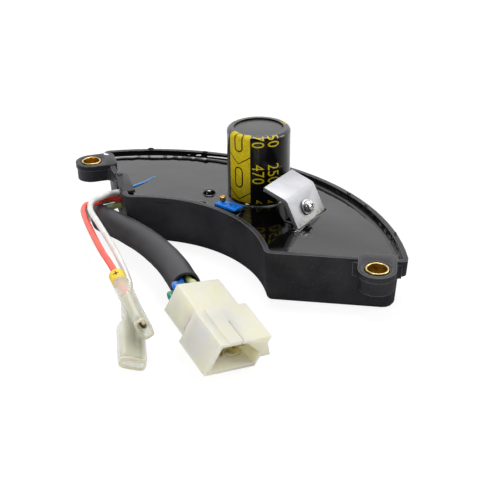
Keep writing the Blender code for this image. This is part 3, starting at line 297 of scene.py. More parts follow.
def exit_start(name):
    along, z = EXIT_PLACES[name]
    draft = END_DRAFT * (1 - z / RIM_HEIGHT)
    return [on_end(along, END_WALL + draft - TOUCH, z), on_end(along, -END_WALL, z)]


def shifted(points):
    return [Vector(p) + TRAY_SHIFT for p in points]


def lane_points(points, turn):
    """Line inside the sleeve that turns slowly with the bundle round its middle."""
    out = []
    for i, point in enumerate(points):
        ahead = (points[min(i + 1, len(points) - 1)] - points[max(i - 1, 0)]).normalized()
        across = ahead.cross(Vector((0, 0, 1))).normalized()
        angle = math.pi / 2 * turn + LANE_TWIST * i / (len(points) - 1)
        out.append(point + (across * math.cos(angle) + across.cross(ahead) * math.sin(angle)) * LANE_R)
    return out


def connector_frame():
    flat = Matrix.Rotation(HOOD_HEADING, 4, "Z") @ Matrix.Rotation(HOOD_TILT, 4, "Y")
    return Matrix.Translation(HOOD_AT) @ flat @ Matrix.Rotation(HOOD_ROLL, 4, "X")


def terminal_frame(terminal):
    """Frame at a terminal's rear end, with X towards its mouth, and the length between them."""
    rear, mouth = shifted(terminal[:2])
    ahead = (mouth - rear).normalized()
    side = Vector((0, 0, 1)).cross(ahead).normalized()
    turn = Matrix((ahead, side, ahead.cross(side))).transposed().to_4x4()
    return Matrix.Translation(rear) @ turn @ Matrix.Rotation(terminal[2], 4, "X"), (mouth - rear).length


def smooth_curve(route, per_span):
    """Points read from a Catmull-Rom curve through the route's own points."""
    ends = [route[0] * 2 - route[1]] + route + [route[-1] * 2 - route[-2]]
    out = []
    for a, b, c, d in zip(ends, ends[1:], ends[2:], ends[3:]):
        for i in range(per_span):
            t = i / per_span
            bent = b * 2 + (c - a) * t + (a * 2 - b * 5 + c * 4 - d) * t**2
            out.append((bent + (b * 3 - a - c * 3 + d) * t**3) / 2)
    return out + [route[-1]]


def evenly(points, spacing):
    lengths = [0.0]
    for a, b in zip(points, points[1:]):
        lengths.append(lengths[-1] + (b - a).length)
    count = max(2, round(lengths[-1] / spacing))
    out, k = [], 0
    for i in range(count + 1):
        target = lengths[-1] * i / count
        while k < len(points) - 2 and lengths[k + 1] < target:
            k += 1
        share = (target - lengths[k]) / (lengths[k + 1] - lengths[k])
        out.append(points[k].lerp(points[k + 1], share))
    return out


def new_material(name):
    """Material with one Principled shader, and its tree, shader and Object coordinates."""
    material = bpy.data.materials.new(name)
    material.use_nodes = True
    tree = material.node_tree
    coords = add_node(tree, "ShaderNodeTexCoord")
    return material, tree, tree.nodes["Principled BSDF"], coords.outputs["Object"]


def mottled_tree(name, cloud, tones, shine, relief=None, sockets=None):
    """Material coloured by a noise between tones, and its tree, shader, coordinates and nodes.

    The cloud is the noise's scale and detail. Shine is one roughness, or a range that follows
    the same noise. Relief is the scale and detail of a bump's noise, its strength and depth.
    """
    material, tree, shader, place = new_material(name)
    mottle = add_node(tree, "ShaderNodeTexNoise", {"Vector": place, "Scale": cloud[0], "Detail": cloud[1]})
    stops = [(at, linear(code)) for at, code in tones]
    tone = add_node(tree, "ShaderNodeValToRGB", {"Fac": mottle.outputs["Fac"]}, stops=stops)
    tree.links.new(tone.outputs[0], shader.inputs["Base Color"])
    if isinstance(shine, tuple):
        span = {"Value": mottle.outputs["Fac"], "To Min": shine[0], "To Max": shine[1]}
        gloss = add_node(tree, "ShaderNodeMapRange", span)
        tree.links.new(gloss.outputs[0], shader.inputs["Roughness"])
    else:
        shader.inputs["Roughness"].default_value = shine
    if relief:
        scale, detail, strength, depth = relief
        grain = add_node(tree, "ShaderNodeTexNoise", {"Vector": place, "Scale": scale, "Detail": detail})
        raised = {"Height": grain.outputs["Fac"], "Strength": strength, "Distance": depth}
        bump = add_node(tree, "ShaderNodeBump", raised)
        tree.links.new(bump.outputs[0], shader.inputs["Normal"])
    for socket, value in (sockets or {}).items():
        shader.inputs[socket].default_value = value
    return material, tree, shader, place, mottle, tone


def mottled(*look):
    return mottled_tree(*look)[0]


# Plasticised PVC, extruded: a soft sheen, faint drag lines and a slightly uneven colour.
def pvc_insulation(name, light, dark, roughness):
    sheen = {"IOR": 1.53, "Coat Weight": 0.25, "Coat Roughness": 0.2}
    tones = ((0.35, dark), (0.65, light))
    return mottled(name, (420.0, 4.0), tones, roughness, (2600.0, 2.0, 0.12, 0.0001), sheen)


def add_wire(name, route, material):
    points = evenly(smooth_curve(route, 12), WIRE_R * 1.5)
    curve = bpy.data.curves.new(name + "_lead", "CURVE")
    curve.dimensions = "3D"
    curve.bevel_depth = WIRE_R
    curve.bevel_resolution = 6
    curve.use_fill_caps = True
    spline = curve.splines.new("POLY")
    spline.points.add(len(points) - 1)
    for point, place in zip(spline.points, points):
        point.co = (*place, 1.0)
    spline.use_smooth = True
    obj = put_in_scene(name + "_insulated", curve)
    curve.materials.append(material)
    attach(obj, "regulator")
    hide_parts(name)
    return obj, points


INSULATIONS = {
    "blue_wire": ("PVC insulation, blue", "#2a7fe0", "#1c66c4", "insulation_blue"),
    "green_wire": ("PVC insulation, green", "#1d9a86", "#127564", "insulation_green"),
    "grey_wire": ("PVC insulation, grey", "#c3c5c4", "#aeb0b0", "insulation_grey"),
    "yellow_wire": ("PVC insulation, yellow green", "#d3dc92", "#bcc877", "insulation_yellow"),
    "red_lead": ("PVC insulation, red", "#ff5a40", "#fb4a34", "insulation_red"),
    "white_lead": ("PVC insulation, white", "#f1f0ec", "#e0dfda", "insulation_white"),
}
for name in HARNESS_LOOPS:
    lane = lane_points(shifted(SLEEVE_ROUTE), LANE_TURNS[name])[1:]
    stops = (-BLOCK_LENGTH - ENTRY_RUN, -BLOCK_LENGTH - WIRE_R, ENTRY_DEPTH - BLOCK_LENGTH - TOUCH * 2)
    entry = [connector_frame() @ Vector((x, *CONTACTS[name])) for x in stops]
    route = exit_start(name) + shifted(HARNESS_LOOPS[name]) + lane + entry
    title, light, dark, slot = INSULATIONS[name]
    add_wire(name, route, pvc_insulation(title, light, dark, 0.34))
free_leads = (("red_lead", RED_ROUTE, RED_TERMINAL), ("white_lead", WHITE_ROUTE, WHITE_TERMINAL))
for name, middle, terminal in free_leads:
    place, reach = terminal_frame(terminal)
    crimp_at = reach - RECEPTACLE_SET_BACK - RECEPTACLE_LENGTH - CRIMP_LENGTH
    end = [place @ Vector((x, 0.0, 0.0)) for x in (-MARKER_LENGTH, 0.0, crimp_at - TOUCH)]
    route = exit_start(name) + shifted(middle) + end
    title, light, dark, slot = INSULATIONS[name]
    add_wire(name, route, pvc_insulation(title, light, dark, 0.3))


# Harness sleeve: a soft black PVC tube pushed over the four wires, its first end cut slanting.
# Bent cold, it shows faint cross wrinkles on the inside of the bend and a long highlight.
SLEEVE_R = 0.0047
SLEEVE_WALL = 0.0007
SLEEVE_CUT = 0.006
SLEEVE_LONG_SIDE = math.radians(150.0)
SLEEVE_SIDES = 56
WRINKLE_DEPTH = 0.00009
WRINKLE_PITCH = 0.0021


def add_piece(name, mesh, material, nodes=(), body="regulator", smooth=35.0):
    """Mesh to a finished piece on its body, standing for its CAD nodes."""
    data = bpy.data.meshes.new(name)
    mesh.to_mesh(data)
    mesh.free()
    data.shade_smooth()
    data.set_sharp_from_angle(angle=math.radians(smooth))
    data.materials.append(material)
    obj = put_in_scene(name, data)
    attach(obj, body)
    if nodes:
        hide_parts(*nodes)
    return obj


def skin(rings, loop=False):
    """Skin over rings with the same number of points; a loop of rings is a tube's wall."""
    mesh = bmesh.new()
    rows = [[mesh.verts.new(p) for p in ring] for ring in rings]
    pairs = list(zip(rows, rows[1:]))
    if loop:
        pairs.append((rows[-1], rows[0]))
    for low, high in pairs:
        for i in range(len(low)):
            j = (i + 1) % len(low)
            mesh.faces.new((low[i], low[j], high[j], high[i]))
    if not loop:
        mesh.faces.new(list(reversed(rows[0])))
        mesh.faces.new(rows[-1])
    bmesh.ops.recalc_face_normals(mesh, faces=mesh.faces)
    return mesh


def angles(count):
    """Angles evenly round a full turn."""
    return [2 * math.pi * i / count for i in range(count)]


sleeve_line = evenly(smooth_curve(shifted(SLEEVE_ROUTE), 12), 0.0006)
outer, inner = [], []
run = 0.0
for i, point in enumerate(sleeve_line):
    before = sleeve_line[max(i - 1, 0)]
    after = sleeve_line[min(i + 1, len(sleeve_line) - 1)]
    run += (point - before).length
    ahead = (after - before).normalized()
    across = ahead.cross(Vector((0, 0, 1))).normalized()
    up = across.cross(ahead)
    fade = max(0.0, 1 - run / (SLEEVE_CUT * 2))
    for ring, radius in ((outer, SLEEVE_R), (inner, SLEEVE_R - SLEEVE_WALL)):
        row = []
        for angle in angles(SLEEVE_SIDES):
            wave = math.sin(2 * math.pi * run / WRINKLE_PITCH + 1.5 * noise.noise(point * 300))
            inside = max(0.0, math.cos(angle - math.pi)) ** 2
            dent = WRINKLE_DEPTH * (wave * inside * 0.5 + noise.noise(point * 160 + Vector((angle, 0, 0))))
            spoke = across * math.cos(angle) + up * math.sin(angle)
            slant = SLEEVE_CUT * fade * (1 - math.cos(angle - SLEEVE_LONG_SIDE)) / 2
            row.append(point + spoke * (radius + dent) + ahead * slant)
        ring.append(row)

sleeve_pvc = mottled(
    "soft PVC sleeving, black", (160.0, 5.0), ((0.3, "#242428"), (0.75, "#343438")), (0.4, 0.55),
    (1900.0, 3.0, 0.2, 0.00008), {"IOR": 1.53, "Specular IOR Level": 0.4},
)
sleeve_mesh = skin(outer + list(reversed(inner)), loop=True)
sleeve = add_piece("sleeving_tube", sleeve_mesh, sleeve_pvc, ["harness_sleeve"], smooth=50.0)


# Tray: a half-moon box moulded in glass-filled black plastic, with both bolt ears in one piece.
# Every edge has a small mould radius, and its material paints a pale highlight along the edges.
def finished(node, name, edge, segments=2, angle=32.0):
    """The CAD node's own shape with its coplanar facets joined and its sharp edges rounded."""
    mesh = bmesh.new()
    mesh.from_mesh(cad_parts[node].data)
    bmesh.ops.remove_doubles(mesh, verts=mesh.verts, dist=2e-6)
    bmesh.ops.dissolve_limit(mesh, angle_limit=math.radians(0.6), verts=mesh.verts, edges=mesh.edges)
    data = bpy.data.meshes.new(name + " draft")
    mesh.to_mesh(data)
    mesh.free()
    draft = put_in_scene(name + " draft", data)
    bevel = draft.modifiers.new("mould radius", "BEVEL")
    bevel.width = edge
    bevel.segments = segments
    bevel.limit_method = "ANGLE"
    bevel.angle_limit = math.radians(angle)
    bevel.miter_outer = "MITER_ARC"
    bpy.context.view_layer.update()
    rounded = bpy.data.meshes.new_from_object(draft.evaluated_get(bpy.context.evaluated_depsgraph_get()))
    bpy.data.objects.remove(draft)
    mesh = bmesh.new()
    mesh.from_mesh(rounded)
    return mesh


# Glass-filled polyamide, moulded: near black, satin, with a fine spark-eroded grain. Its edges
# get a painted highlight, paler than the faces, and a glass fibre shows as a pale fleck here and there.
moulded, tree, shader, place, cloud, tone = mottled_tree(
    "glass-filled polyamide, moulded black", (90.0, 6.0), ((0.3, "#1f1f23"), (0.8, "#363639")),
    (0.34, 0.5), (1500.0, 3.0, 0.4, 0.00012), {"Specular IOR Level": 0.24},
)
# Painted highlight: a pale tone is laid along every rounded edge.
softened = add_node(tree, "ShaderNodeBevel", {"Radius": 0.00035}, samples=4)
facing = add_node(tree, "ShaderNodeNewGeometry")
turning = {0: softened.outputs[0], 1: facing.outputs["Normal"]}
bend = add_node(tree, "ShaderNodeVectorMath", turning, operation="DOT_PRODUCT")
on_edge = {"Value": bend.outputs["Value"], "From Min": 0.99, "From Max": 0.8, "To Max": 0.8}
edge = add_node(tree, "ShaderNodeMapRange", on_edge)
fibres = add_node(tree, "ShaderNodeTexNoise", {"Vector": place, "Scale": 2400.0, "Detail": 2.0})
bare = {"Value": fibres.outputs["Fac"], "From Min": 0.64, "From Max": 0.72, "To Max": 0.2}
speck = add_node(tree, "ShaderNodeMapRange", bare)
flecked = {0: speck.outputs[0], 6: tone.outputs[0], 7: linear("#7c7d80")}
fleck = add_node(tree, "ShaderNodeMix", flecked, data_type="RGBA")
edge_highlight_inputs = {0: edge.outputs[0], 6: fleck.outputs[2], 7: linear("#8f9194")}
painted_light = add_node(tree, "ShaderNodeMix", edge_highlight_inputs, data_type="RGBA")
tree.links.new(painted_light.outputs[2], shader.inputs["Base Color"])

add_piece("moulded_tray", finished("housing", "tray", 0.00022), moulded, ["housing"])
cover_mesh = finished("wire_exit_cover", "cover", 0.00012)
add_piece("notch_cover", cover_mesh, moulded, ["wire_exit_cover"])

# Small rounded ribs stand out of the lip where the mould was vented.
LIP_FOOT = 0.0150
LIP_TOP = 0.0189
LIP_CENTRE_Y = -0.061
RIB_HALF_WIDTH = 0.0012
RIB_DEPTH = 0.0003
RIB_LEVELS = ((LIP_FOOT, 0.6), (LIP_FOOT + 0.0004, 1.0), (LIP_TOP, 1.0), (LIP_TOP + 0.0003, 0.6))
for i, (x, y) in enumerate(((0.0280, 0.0232), (0.0382, 0.0189), (0.0575, 0.0076))):
    for side, word in ((1, "right"), (-1, "left")):
        outward = Vector((x, y - LIP_CENTRE_Y, 0.0)).normalized()
        along = Vector((-outward.y, outward.x, 0.0))
        rings = []
        for z, size in RIB_LEVELS:
            half, out = along * RIB_HALF_WIDTH * size, outward * RIB_DEPTH * size
            ring = [half * math.cos(a) + out * math.sin(a) for a in angles(24)]
            rings.append([Vector(((x + p.x) * side, y + p.y, z)) for p in ring])
        add_piece(f"lip_rib_{word}_{i + 1}", skin(rings), moulded, smooth=50.0)


# Bushes: rolled steel sleeves pressed in the ears, yellow zinc plated, one for each M6 bolt.
# Chromate leaves a gold film that turns pink and green where it is thicker.
zinc, tree, shader, place, film, tint = mottled_tree(
    "steel, yellow chromate over zinc", (420.0, 2.0),
    ((0.3, "#86a83c"), (0.45, "#e2c25a"), (0.56, "#dc8a4e"), (0.66, "#a2b050")), 0.3, None, {"Metallic": 1.0},
)
film.inputs["Distortion"].default_value = 1.2
# Painted highlight: the top rim of each bush is mixed towards a pale gold.
height = add_node(tree, "ShaderNodeSeparateXYZ", {"Vector": place})
bush_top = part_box("bush_right")[1].z
painted_light = {"Value": height.outputs["Z"], "From Min": bush_top - 0.0004, "From Max": bush_top - 0.0001}
on_rim = add_node(tree, "ShaderNodeMapRange", painted_light)
pale = {0: on_rim.outputs[0], 6: tint.outputs[0], 7: linear("#cdb676")}
chromate_and_highlight = add_node(tree, "ShaderNodeMix", pale, data_type="RGBA")
tree.links.new(chromate_and_highlight.outputs[2], shader.inputs["Base Color"])
for side in ("left", "right"):
    node = f"bush_{side}"
    add_piece(f"rolled_{node}", finished(node, node, 0.00006), zinc, [node])


# Potting: black epoxy poured level in the tray, with a thin rim that wets every wall and part.
# It sets glossy, with a few low domes over what lies just under it.
RESIN_LEVEL = 0.0166
MENISCUS_HEIGHT = 0.00045
REACH = 0.0007
MENISCUS_STEPS = ((0.00008, 0.62), (0.00012, 0.3), (0.0002, 0.08), (0.0002, 0.0))
WALL_BITE = 0.00005
ROOT_DEPTH = 0.0003
DOMES = (
    (Vector((-0.0144, -0.00478, 0)), 0.0024, 0.0018),
    (Vector((-0.0104, -0.01338, 0)), 0.0018, 0.0012),
)

mesh = bmesh.new()
mesh.from_mesh(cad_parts["potting_resin"].data)
bmesh.ops.remove_doubles(mesh, verts=mesh.verts, dist=2e-6)
bmesh.ops.dissolve_limit(mesh, angle_limit=math.radians(0.6), verts=mesh.verts, edges=mesh.edges)


def on_level(face):
    return face.normal.z > 0.999 and abs(face.calc_center_median().z - RESIN_LEVEL) < 2e-5


level_faces = [f for f in mesh.faces if on_level(f)]
rim_edges = [e for f in level_faces for e in f.edges if not all(on_level(g) for g in e.link_faces)]
wall_line = []
left = list(rim_edges)
while left:
    edge = left.pop()
    line = [edge.verts[0], edge.verts[1]]
    following = [e for e in line[-1].link_edges if e in left]
    while following:
        left.remove(following[0])
        line.append(following[0].other_vert(line[-1]))
        following = [e for e in line[-1].link_edges if e in left]
    if len(line) > len(wall_line):
        wall_line = line
wall_line = [vert.co.copy() for vert in wall_line]


CLIMBED = [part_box(node) for node in ("trimmer_body", "heat_sink_bracket", "power_transistor")]


def climbs(place):
    """Whether the resin climbs here: at the trimmer and at the bracket with its transistor."""
    for low, high in CLIMBED:
        if low.x - REACH < place.x < high.x + REACH and low.y - REACH < place.y < high.y + REACH:
            return True
    return False


for vert in {v for e in rim_edges for v in e.verts}:
    vert.co.z = RESIN_LEVEL + (MENISCUS_HEIGHT if climbs(vert.co) else 0.0)
for step, height in MENISCUS_STEPS:
    bmesh.ops.inset_region(
        mesh, faces=level_faces, thickness=step, depth=0.0, use_even_offset=True, use_boundary=True
    )
    for vert in {v for f in level_faces for v in f.verts}:
        vert.co.z = RESIN_LEVEL + (MENISCUS_HEIGHT * height if climbs(vert.co) else 0.0)

resin, tree, shader, place = new_material("epoxy potting resin, black")
swell = add_node(tree, "ShaderNodeTexNoise", {"Vector": place, "Scale": 55.0, "Detail": 2.0})
peel = add_node(tree, "ShaderNodeTexNoise", {"Vector": place, "Scale": 420.0, "Detail": 2.0})
slow = add_node(tree, "ShaderNodeBump", {"Height": swell.outputs["Fac"], "Strength": 0.1, "Distance": 0.002})
quick = add_node(
    tree,
    "ShaderNodeBump",
    {"Height": peel.outputs["Fac"], "Strength": 0.05, "Distance": 0.0003, "Normal": slow.outputs[0]},
)
haze = add_node(tree, "ShaderNodeMapRange", {"Value": swell.outputs["Fac"], "To Min": 0.03, "To Max": 0.09})
dust = add_node(tree, "ShaderNodeTexVoronoi", {"Vector": place, "Scale": 520.0})
speck = add_node(
    tree, "ShaderNodeValToRGB", {"Fac": dust.outputs["Distance"]},
    stops=[(0.0, linear("#4a4a4e")), (0.05, linear("#060607")), (1.0, linear("#050506"))],
)
tree.links.new(speck.outputs[0], shader.inputs["Base Color"])
tree.links.new(haze.outputs[0], shader.inputs["Roughness"])
tree.links.new(quick.outputs[0], shader.inputs["Normal"])
shader.inputs["IOR"].default_value = 1.56
add_piece("poured_resin", mesh, resin, ["potting_resin"], smooth=30.0)


def wetted_rim(name, line, side, sizes_at):
    """Rippled rim of resin climbing a wall; the resin is on the given side of the line."""
    rings = []
    for i, point in enumerate(line):
        ahead = (line[(i + 1) % len(line)] - line[i - 1]).normalized()
        away = Vector((-ahead.y, ahead.x, 0.0)) * side
        width, height = sizes_at(point, away)
        rough = min(1.0, max(0.1, -point.x * 25))
        ripple = rough * noise.noise(point * 420)
        slow = noise.noise(point * 90 + Vector((7.0, 3.0, 0.0)))
        width *= 1 + 0.2 * slow + 0.2 * ripple
        height *= 1 + 0.12 * slow + 0.1 * ripple
        shares = (0.0, 0.04, 0.1, 0.2, 0.34, 0.5, 0.7, 0.85, 1.0)
        ring = [(share * width, height * (1 - share) ** 3.2) for share in shares]
        wall_side = [(-WALL_BITE, -ROOT_DEPTH), (-WALL_BITE, ring[0][1])]
        ring = wall_side + ring + [(width, -ROOT_DEPTH)]
        rings.append([Vector((*(point + away * out).xy, RESIN_LEVEL + rise)) for out, rise in ring])
    return add_piece(name, skin(rings, loop=True), resin, smooth=60.0)


def wall_sizes(point, away):
    """Wide and high along the outer arc, and slight along the hollow side by the trimmer."""
    return (0.0019, 0.0020) if away.y < -0.25 and point.y > -0.02 else (0.0006, 0.00045)


wall_line = evenly(wall_line, 0.0005)[:-1]
if sum(a.x * b.y - b.x * a.y for a, b in zip(wall_line, wall_line[1:])) < 0:
    wall_line.reverse()
wetted_rim("resin_wall_rim", wall_line, 1, wall_sizes)
can_centre = (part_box("capacitor_can")[0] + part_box("capacitor_can")[1]) / 2
turns = angles(120)
CAN_LINE_R = 0.01135
spokes = [Vector((CAN_LINE_R * math.cos(a), CAN_LINE_R * math.sin(a), 0)) for a in turns]
can_line = [Vector((can_centre.x, can_centre.y, 0)) + spoke for spoke in spokes]
wetted_rim("resin_capacitor_rim", can_line, -1, lambda point, away: (0.0012, 0.0010))


def turned(profile, steps, centre=(0.0, 0.0)):
    """Solid turned about an upright line through the centre."""
    spokes = [(math.cos(a), math.sin(a)) for a in angles(steps)]
    return skin([[Vector((centre[0] + r * c, centre[1] + r * s, z)) for c, s in spokes] for r, z in profile])


def dome(name, centre, radius, rise, foot, skirt):
    """Round blob of resin with a hollow skirt where it runs out on the face below."""
    profile = [(radius + skirt, foot - ROOT_DEPTH), (radius + skirt, foot)]
    profile.append((radius + skirt * 0.35, foot + rise * 0.04))
    for i in range(12):
        a = math.pi / 2 * i / 12
        profile.append((radius * math.cos(a), foot + rise * (0.1 + 0.9 * math.sin(a))))
    return add_piece(name, turned(profile, 40, centre), resin, smooth=60.0)


for i, (centre, radius, rise) in enumerate(DOMES):
    dome(f"resin_dome_{i + 1}", centre, radius, rise, RESIN_LEVEL, 0.0006)
BLOBS = (
    (Vector((0.0252, -0.0067, 0)), 0.0007, 0.0005),
    (Vector((0.0291, -0.0093, 0)), 0.0010, 0.0007),
    (Vector((0.0301, -0.0084, 0)), 0.0005, 0.0004),
)
for i, (centre, radius, rise) in enumerate(BLOBS):
    dome(f"resin_blob_{i + 1}", centre, radius, rise, RESIN_LEVEL, 0.0003)

# A small white dot on the left ear stands for a glint on its edge: a painted highlight.
paint = mottled("white witness paint", (1800.0, 3.0), ((0.3, "#e6e8ea"), (0.7, "#ffffff")), 0.4)
EAR_TOP = 0.0192
DOT_X, DOT_Y = -0.06654, -0.0083
DOT_LONG, DOT_WIDE = 0.0012, 0.0007
rings = []
for size, lift in ((1.0, -0.0001), (1.0, 0.00003), (0.7, 0.00012)):
    ring = []
    for a in turns:
        swell = size * (1 + 0.15 * math.sin(3 * a) + 0.06 * math.sin(5 * a))
        x, y = DOT_X + DOT_LONG * swell * math.cos(a), DOT_Y + DOT_WIDE * swell * math.sin(a)
        ring.append(Vector((x, y, EAR_TOP + lift)))
    rings.append(ring)
add_piece("witness_dot", skin(rings), paint, smooth=60.0)


def sunk_line(name, points, radii, material):
    """Thin round line lying half in the resin, thinner where it dips under."""
    line = evenly(smooth_curve([Vector((x, y, RESIN_LEVEL + z)) for x, y, z in points], 6), 0.0005)
    rings = []
    for i, point in enumerate(line):
        ahead = (line[min(i + 1, len(line) - 1)] - line[max(i - 1, 0)]).normalized()
        across = Vector((ahead.y, -ahead.x, 0.0)).normalized()
        share = i / (len(line) - 1)
        radius = radii[0] + (radii[1] - radii[0]) * share
        spokes = [(math.cos(a), math.sin(a)) for a in angles(16)]
        rings.append([point + (across * c + Vector((0, 0, 1)) * s) * radius for c, s in spokes])
    return add_piece(name, skin(rings), material, smooth=60.0)


jumper = (
    (-0.0400, -0.0195, 0.0001),
    (-0.0396, -0.0152, 0.0001),
    (-0.0398, -0.0115, 0.00005),
    (-0.0402, -0.0070, 0.0),
)
wet_blue = pvc_insulation("PVC insulation, blue, wetted by resin", "#46aaf4", "#2a86d2", 0.2)
sunk_line("blue_jumper", jumper, (0.00052, 0.00016), wet_blue)
fold = (
    (0.0290, -0.0118, -0.0002),
    (0.0318, -0.0116, -0.0001),
    (0.0341, -0.0102, -0.0001),
    (0.0357, -0.0083, -0.0003),
)
sunk_line("resin_fold", fold, (0.0002, 0.00035), resin)


# Capacitor: a 22 mm aluminium can in a shrunk PVC film, printed in gold with its polarity
# stripe and plain rating numbers, and a black insulating disc under the film's open top.
cap_low, cap_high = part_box("capacitor_sleeve")
CAP_CENTRE = Vector(((cap_low.x + cap_high.x) / 2, (cap_low.y + cap_high.y) / 2, 0.0))
FILM_R = 0.0113
FILM_THICK = 0.0003
SHOULDER_R = 0.0013
FILM_LIP_R = 0.0088
FILM_SIDES = 144
FILM_TOP = cap_high.z
FILM_FOOT = cap_low.z
STRAIGHT = FILM_TOP - SHOULDER_R - FILM_FOOT
ROUND = SHOULDER_R * math.pi / 2
FLAT = FILM_R - SHOULDER_R - FILM_LIP_R


def film_point(azimuth, distance, lift):
    """Point on the film by its azimuth and the distance up the film and over its shoulder."""
    if distance <= STRAIGHT:
        radius, z = FILM_R + lift, FILM_FOOT + distance
    elif distance <= STRAIGHT + ROUND:
        angle = (distance - STRAIGHT) / SHOULDER_R
        radius = FILM_R - SHOULDER_R + (SHOULDER_R + lift) * math.cos(angle)
        z = FILM_TOP - SHOULDER_R + (SHOULDER_R + lift) * math.sin(angle)
    else:
        radius, z = FILM_R - SHOULDER_R - (distance - STRAIGHT - ROUND), FILM_TOP + lift
    wave = math.sin(azimuth * 31 + 2 * math.sin(azimuth * 5))
    radius += 0.00003 * wave * max(0.0, distance - STRAIGHT + 0.002) / 0.003
    return CAP_CENTRE + Vector((radius * math.cos(azimuth), radius * math.sin(azimuth), z))


stations = [0.0, STRAIGHT * 0.5, STRAIGHT - 0.002, STRAIGHT - 0.001]
stations += [STRAIGHT + ROUND * i / 8 for i in range(9)]
stations += [STRAIGHT + ROUND + FLAT * i / 3 for i in range(1, 4)]
azimuths = angles(FILM_SIDES)
skin_out = [[film_point(a, s, 0.0) for a in azimuths] for s in stations]
skin_in = [[film_point(a, s, -FILM_THICK) for a in azimuths] for s in reversed(stations)]

# Heat-shrunk PVC film: black and glossy, drawn tight, so it mirrors the studio sharply.
film_pvc, tree, shader, place = new_material("shrunk PVC film, black")
ripple = add_node(tree, "ShaderNodeTexNoise", {"Vector": place, "Scale": 150.0, "Detail": 2.0})
wavy = {"Height": ripple.outputs["Fac"], "Strength": 0.08, "Distance": 0.0006}
bump = add_node(tree, "ShaderNodeBump", wavy)
shine = add_node(tree, "ShaderNodeMapRange", {"Value": ripple.outputs["Fac"], "To Min": 0.1, "To Max": 0.2})
tree.links.new(bump.outputs[0], shader.inputs["Normal"])
tree.links.new(shine.outputs[0], shader.inputs["Roughness"])
shader.inputs["Base Color"].default_value = linear("#0a0a0b")
shader.inputs["IOR"].default_value = 1.54
film_mesh = skin(skin_out + skin_in, loop=True)
add_piece("shrunk_film", film_mesh, film_pvc, ["capacitor_sleeve"], smooth=50.0)

# Gold printing ink on the film: shapes drawn flat, repeated up the can by a Geometry Nodes
# tree, cut into strips and then laid round the film.
PRINT_PERIOD = 0.0135
PRINT_FOOT = 0.0098
STRIPE_AZIMUTH = math.radians(-88.65)
STRIPE_WIDTH = 0.0092
INK_LIFT = 0.00002
LINE_LIFT = 0.00004
FIGURE_HEIGHT = 0.0043
CAPITAL_SHARE = 0.7
NARROWING = 0.78


def outline_mesh(loops):
    """Flat mesh between an outer and an inner closed line with the same number of points."""
    mesh = bmesh.new()
    rows = [[mesh.verts.new((x, y, 0.0)) for x, y in loop] for loop in loops]
    for i in range(len(rows[0])):
        j = (i + 1) % len(rows[0])
        mesh.faces.new((rows[0][i], rows[0][j], rows[1][j], rows[1][i]))
    return mesh


def capsule(half_width, half_length, steps=10):
    """Outline of a bar with round ends."""
    straight = half_length - half_width
    half_turn = [math.pi * i / steps for i in range(steps + 1)]
    top = [(half_width * math.cos(a), straight + half_width * math.sin(a)) for a in half_turn]
    return top + [(-x, -y) for x, y in top]


def stripe_marks():
    mesh = outline_mesh([capsule(0.00182, 0.0040), capsule(0.0013, 0.00348)])
    foot, rise, thick = 0.0049, 0.0031, 0.00042
    for side in (-1, 1):
        edge = side * STRIPE_WIDTH / 2
        quad = [(0.0, foot), (edge, foot + rise), (edge, foot + rise + thick), (0.0, foot + thick)]
        mesh.faces.new([mesh.verts.new((x, y, 0.0)) for x, y in quad])
    return mesh


def repeat_tree():
    """Geometry Nodes tree that repeats a flat shape up a line and gives it its ink."""
    tree = bpy.data.node_groups.new("print repeated up the film", "GeometryNodeTree")
    inputs = {"Geometry": "Geometry", "Count": "Int", "Period": "Float", "Ink": "Material"}
    for name, kind in inputs.items():
        tree.interface.new_socket(name, in_out="INPUT", socket_type=f"NodeSocket{kind}")
    tree.interface.new_socket("Geometry", in_out="OUTPUT", socket_type="NodeSocketGeometry")
    given = add_node(tree, "NodeGroupInput").outputs
    step = add_node(tree, "ShaderNodeCombineXYZ", {"Y": given["Period"]})
    spaced = {"Count": given["Count"], "Offset": step.outputs[0]}
    line = add_node(tree, "GeometryNodeMeshLine", spaced, mode="OFFSET")
    set_out = {"Points": line.outputs[0], "Instance": given["Geometry"]}
    copies = add_node(tree, "GeometryNodeInstanceOnPoints", set_out)
    real = add_node(tree, "GeometryNodeRealizeInstances", {"Geometry": copies.outputs[0]})
    dyed = {"Geometry": real.outputs[0], "Material": given["Ink"]}
    inked = add_node(tree, "GeometryNodeSetMaterial", dyed)
    add_node(tree, "NodeGroupOutput", {"Geometry": inked.outputs[0]})
    return tree


REPEAT = repeat_tree()


def evaluated_mesh(obj):
    bpy.context.view_layer.update()
    data = bpy.data.meshes.new_from_object(obj.evaluated_get(bpy.context.evaluated_depsgraph_get()))
    mesh = bmesh.new()
    mesh.from_mesh(data)
    return mesh


def cut_across(mesh, place, normal, clear_outer=False):
    whole = mesh.verts[:] + mesh.edges[:] + mesh.faces[:]
    bmesh.ops.bisect_plane(mesh, geom=whole, plane_co=place, plane_no=normal, clear_outer=clear_outer)


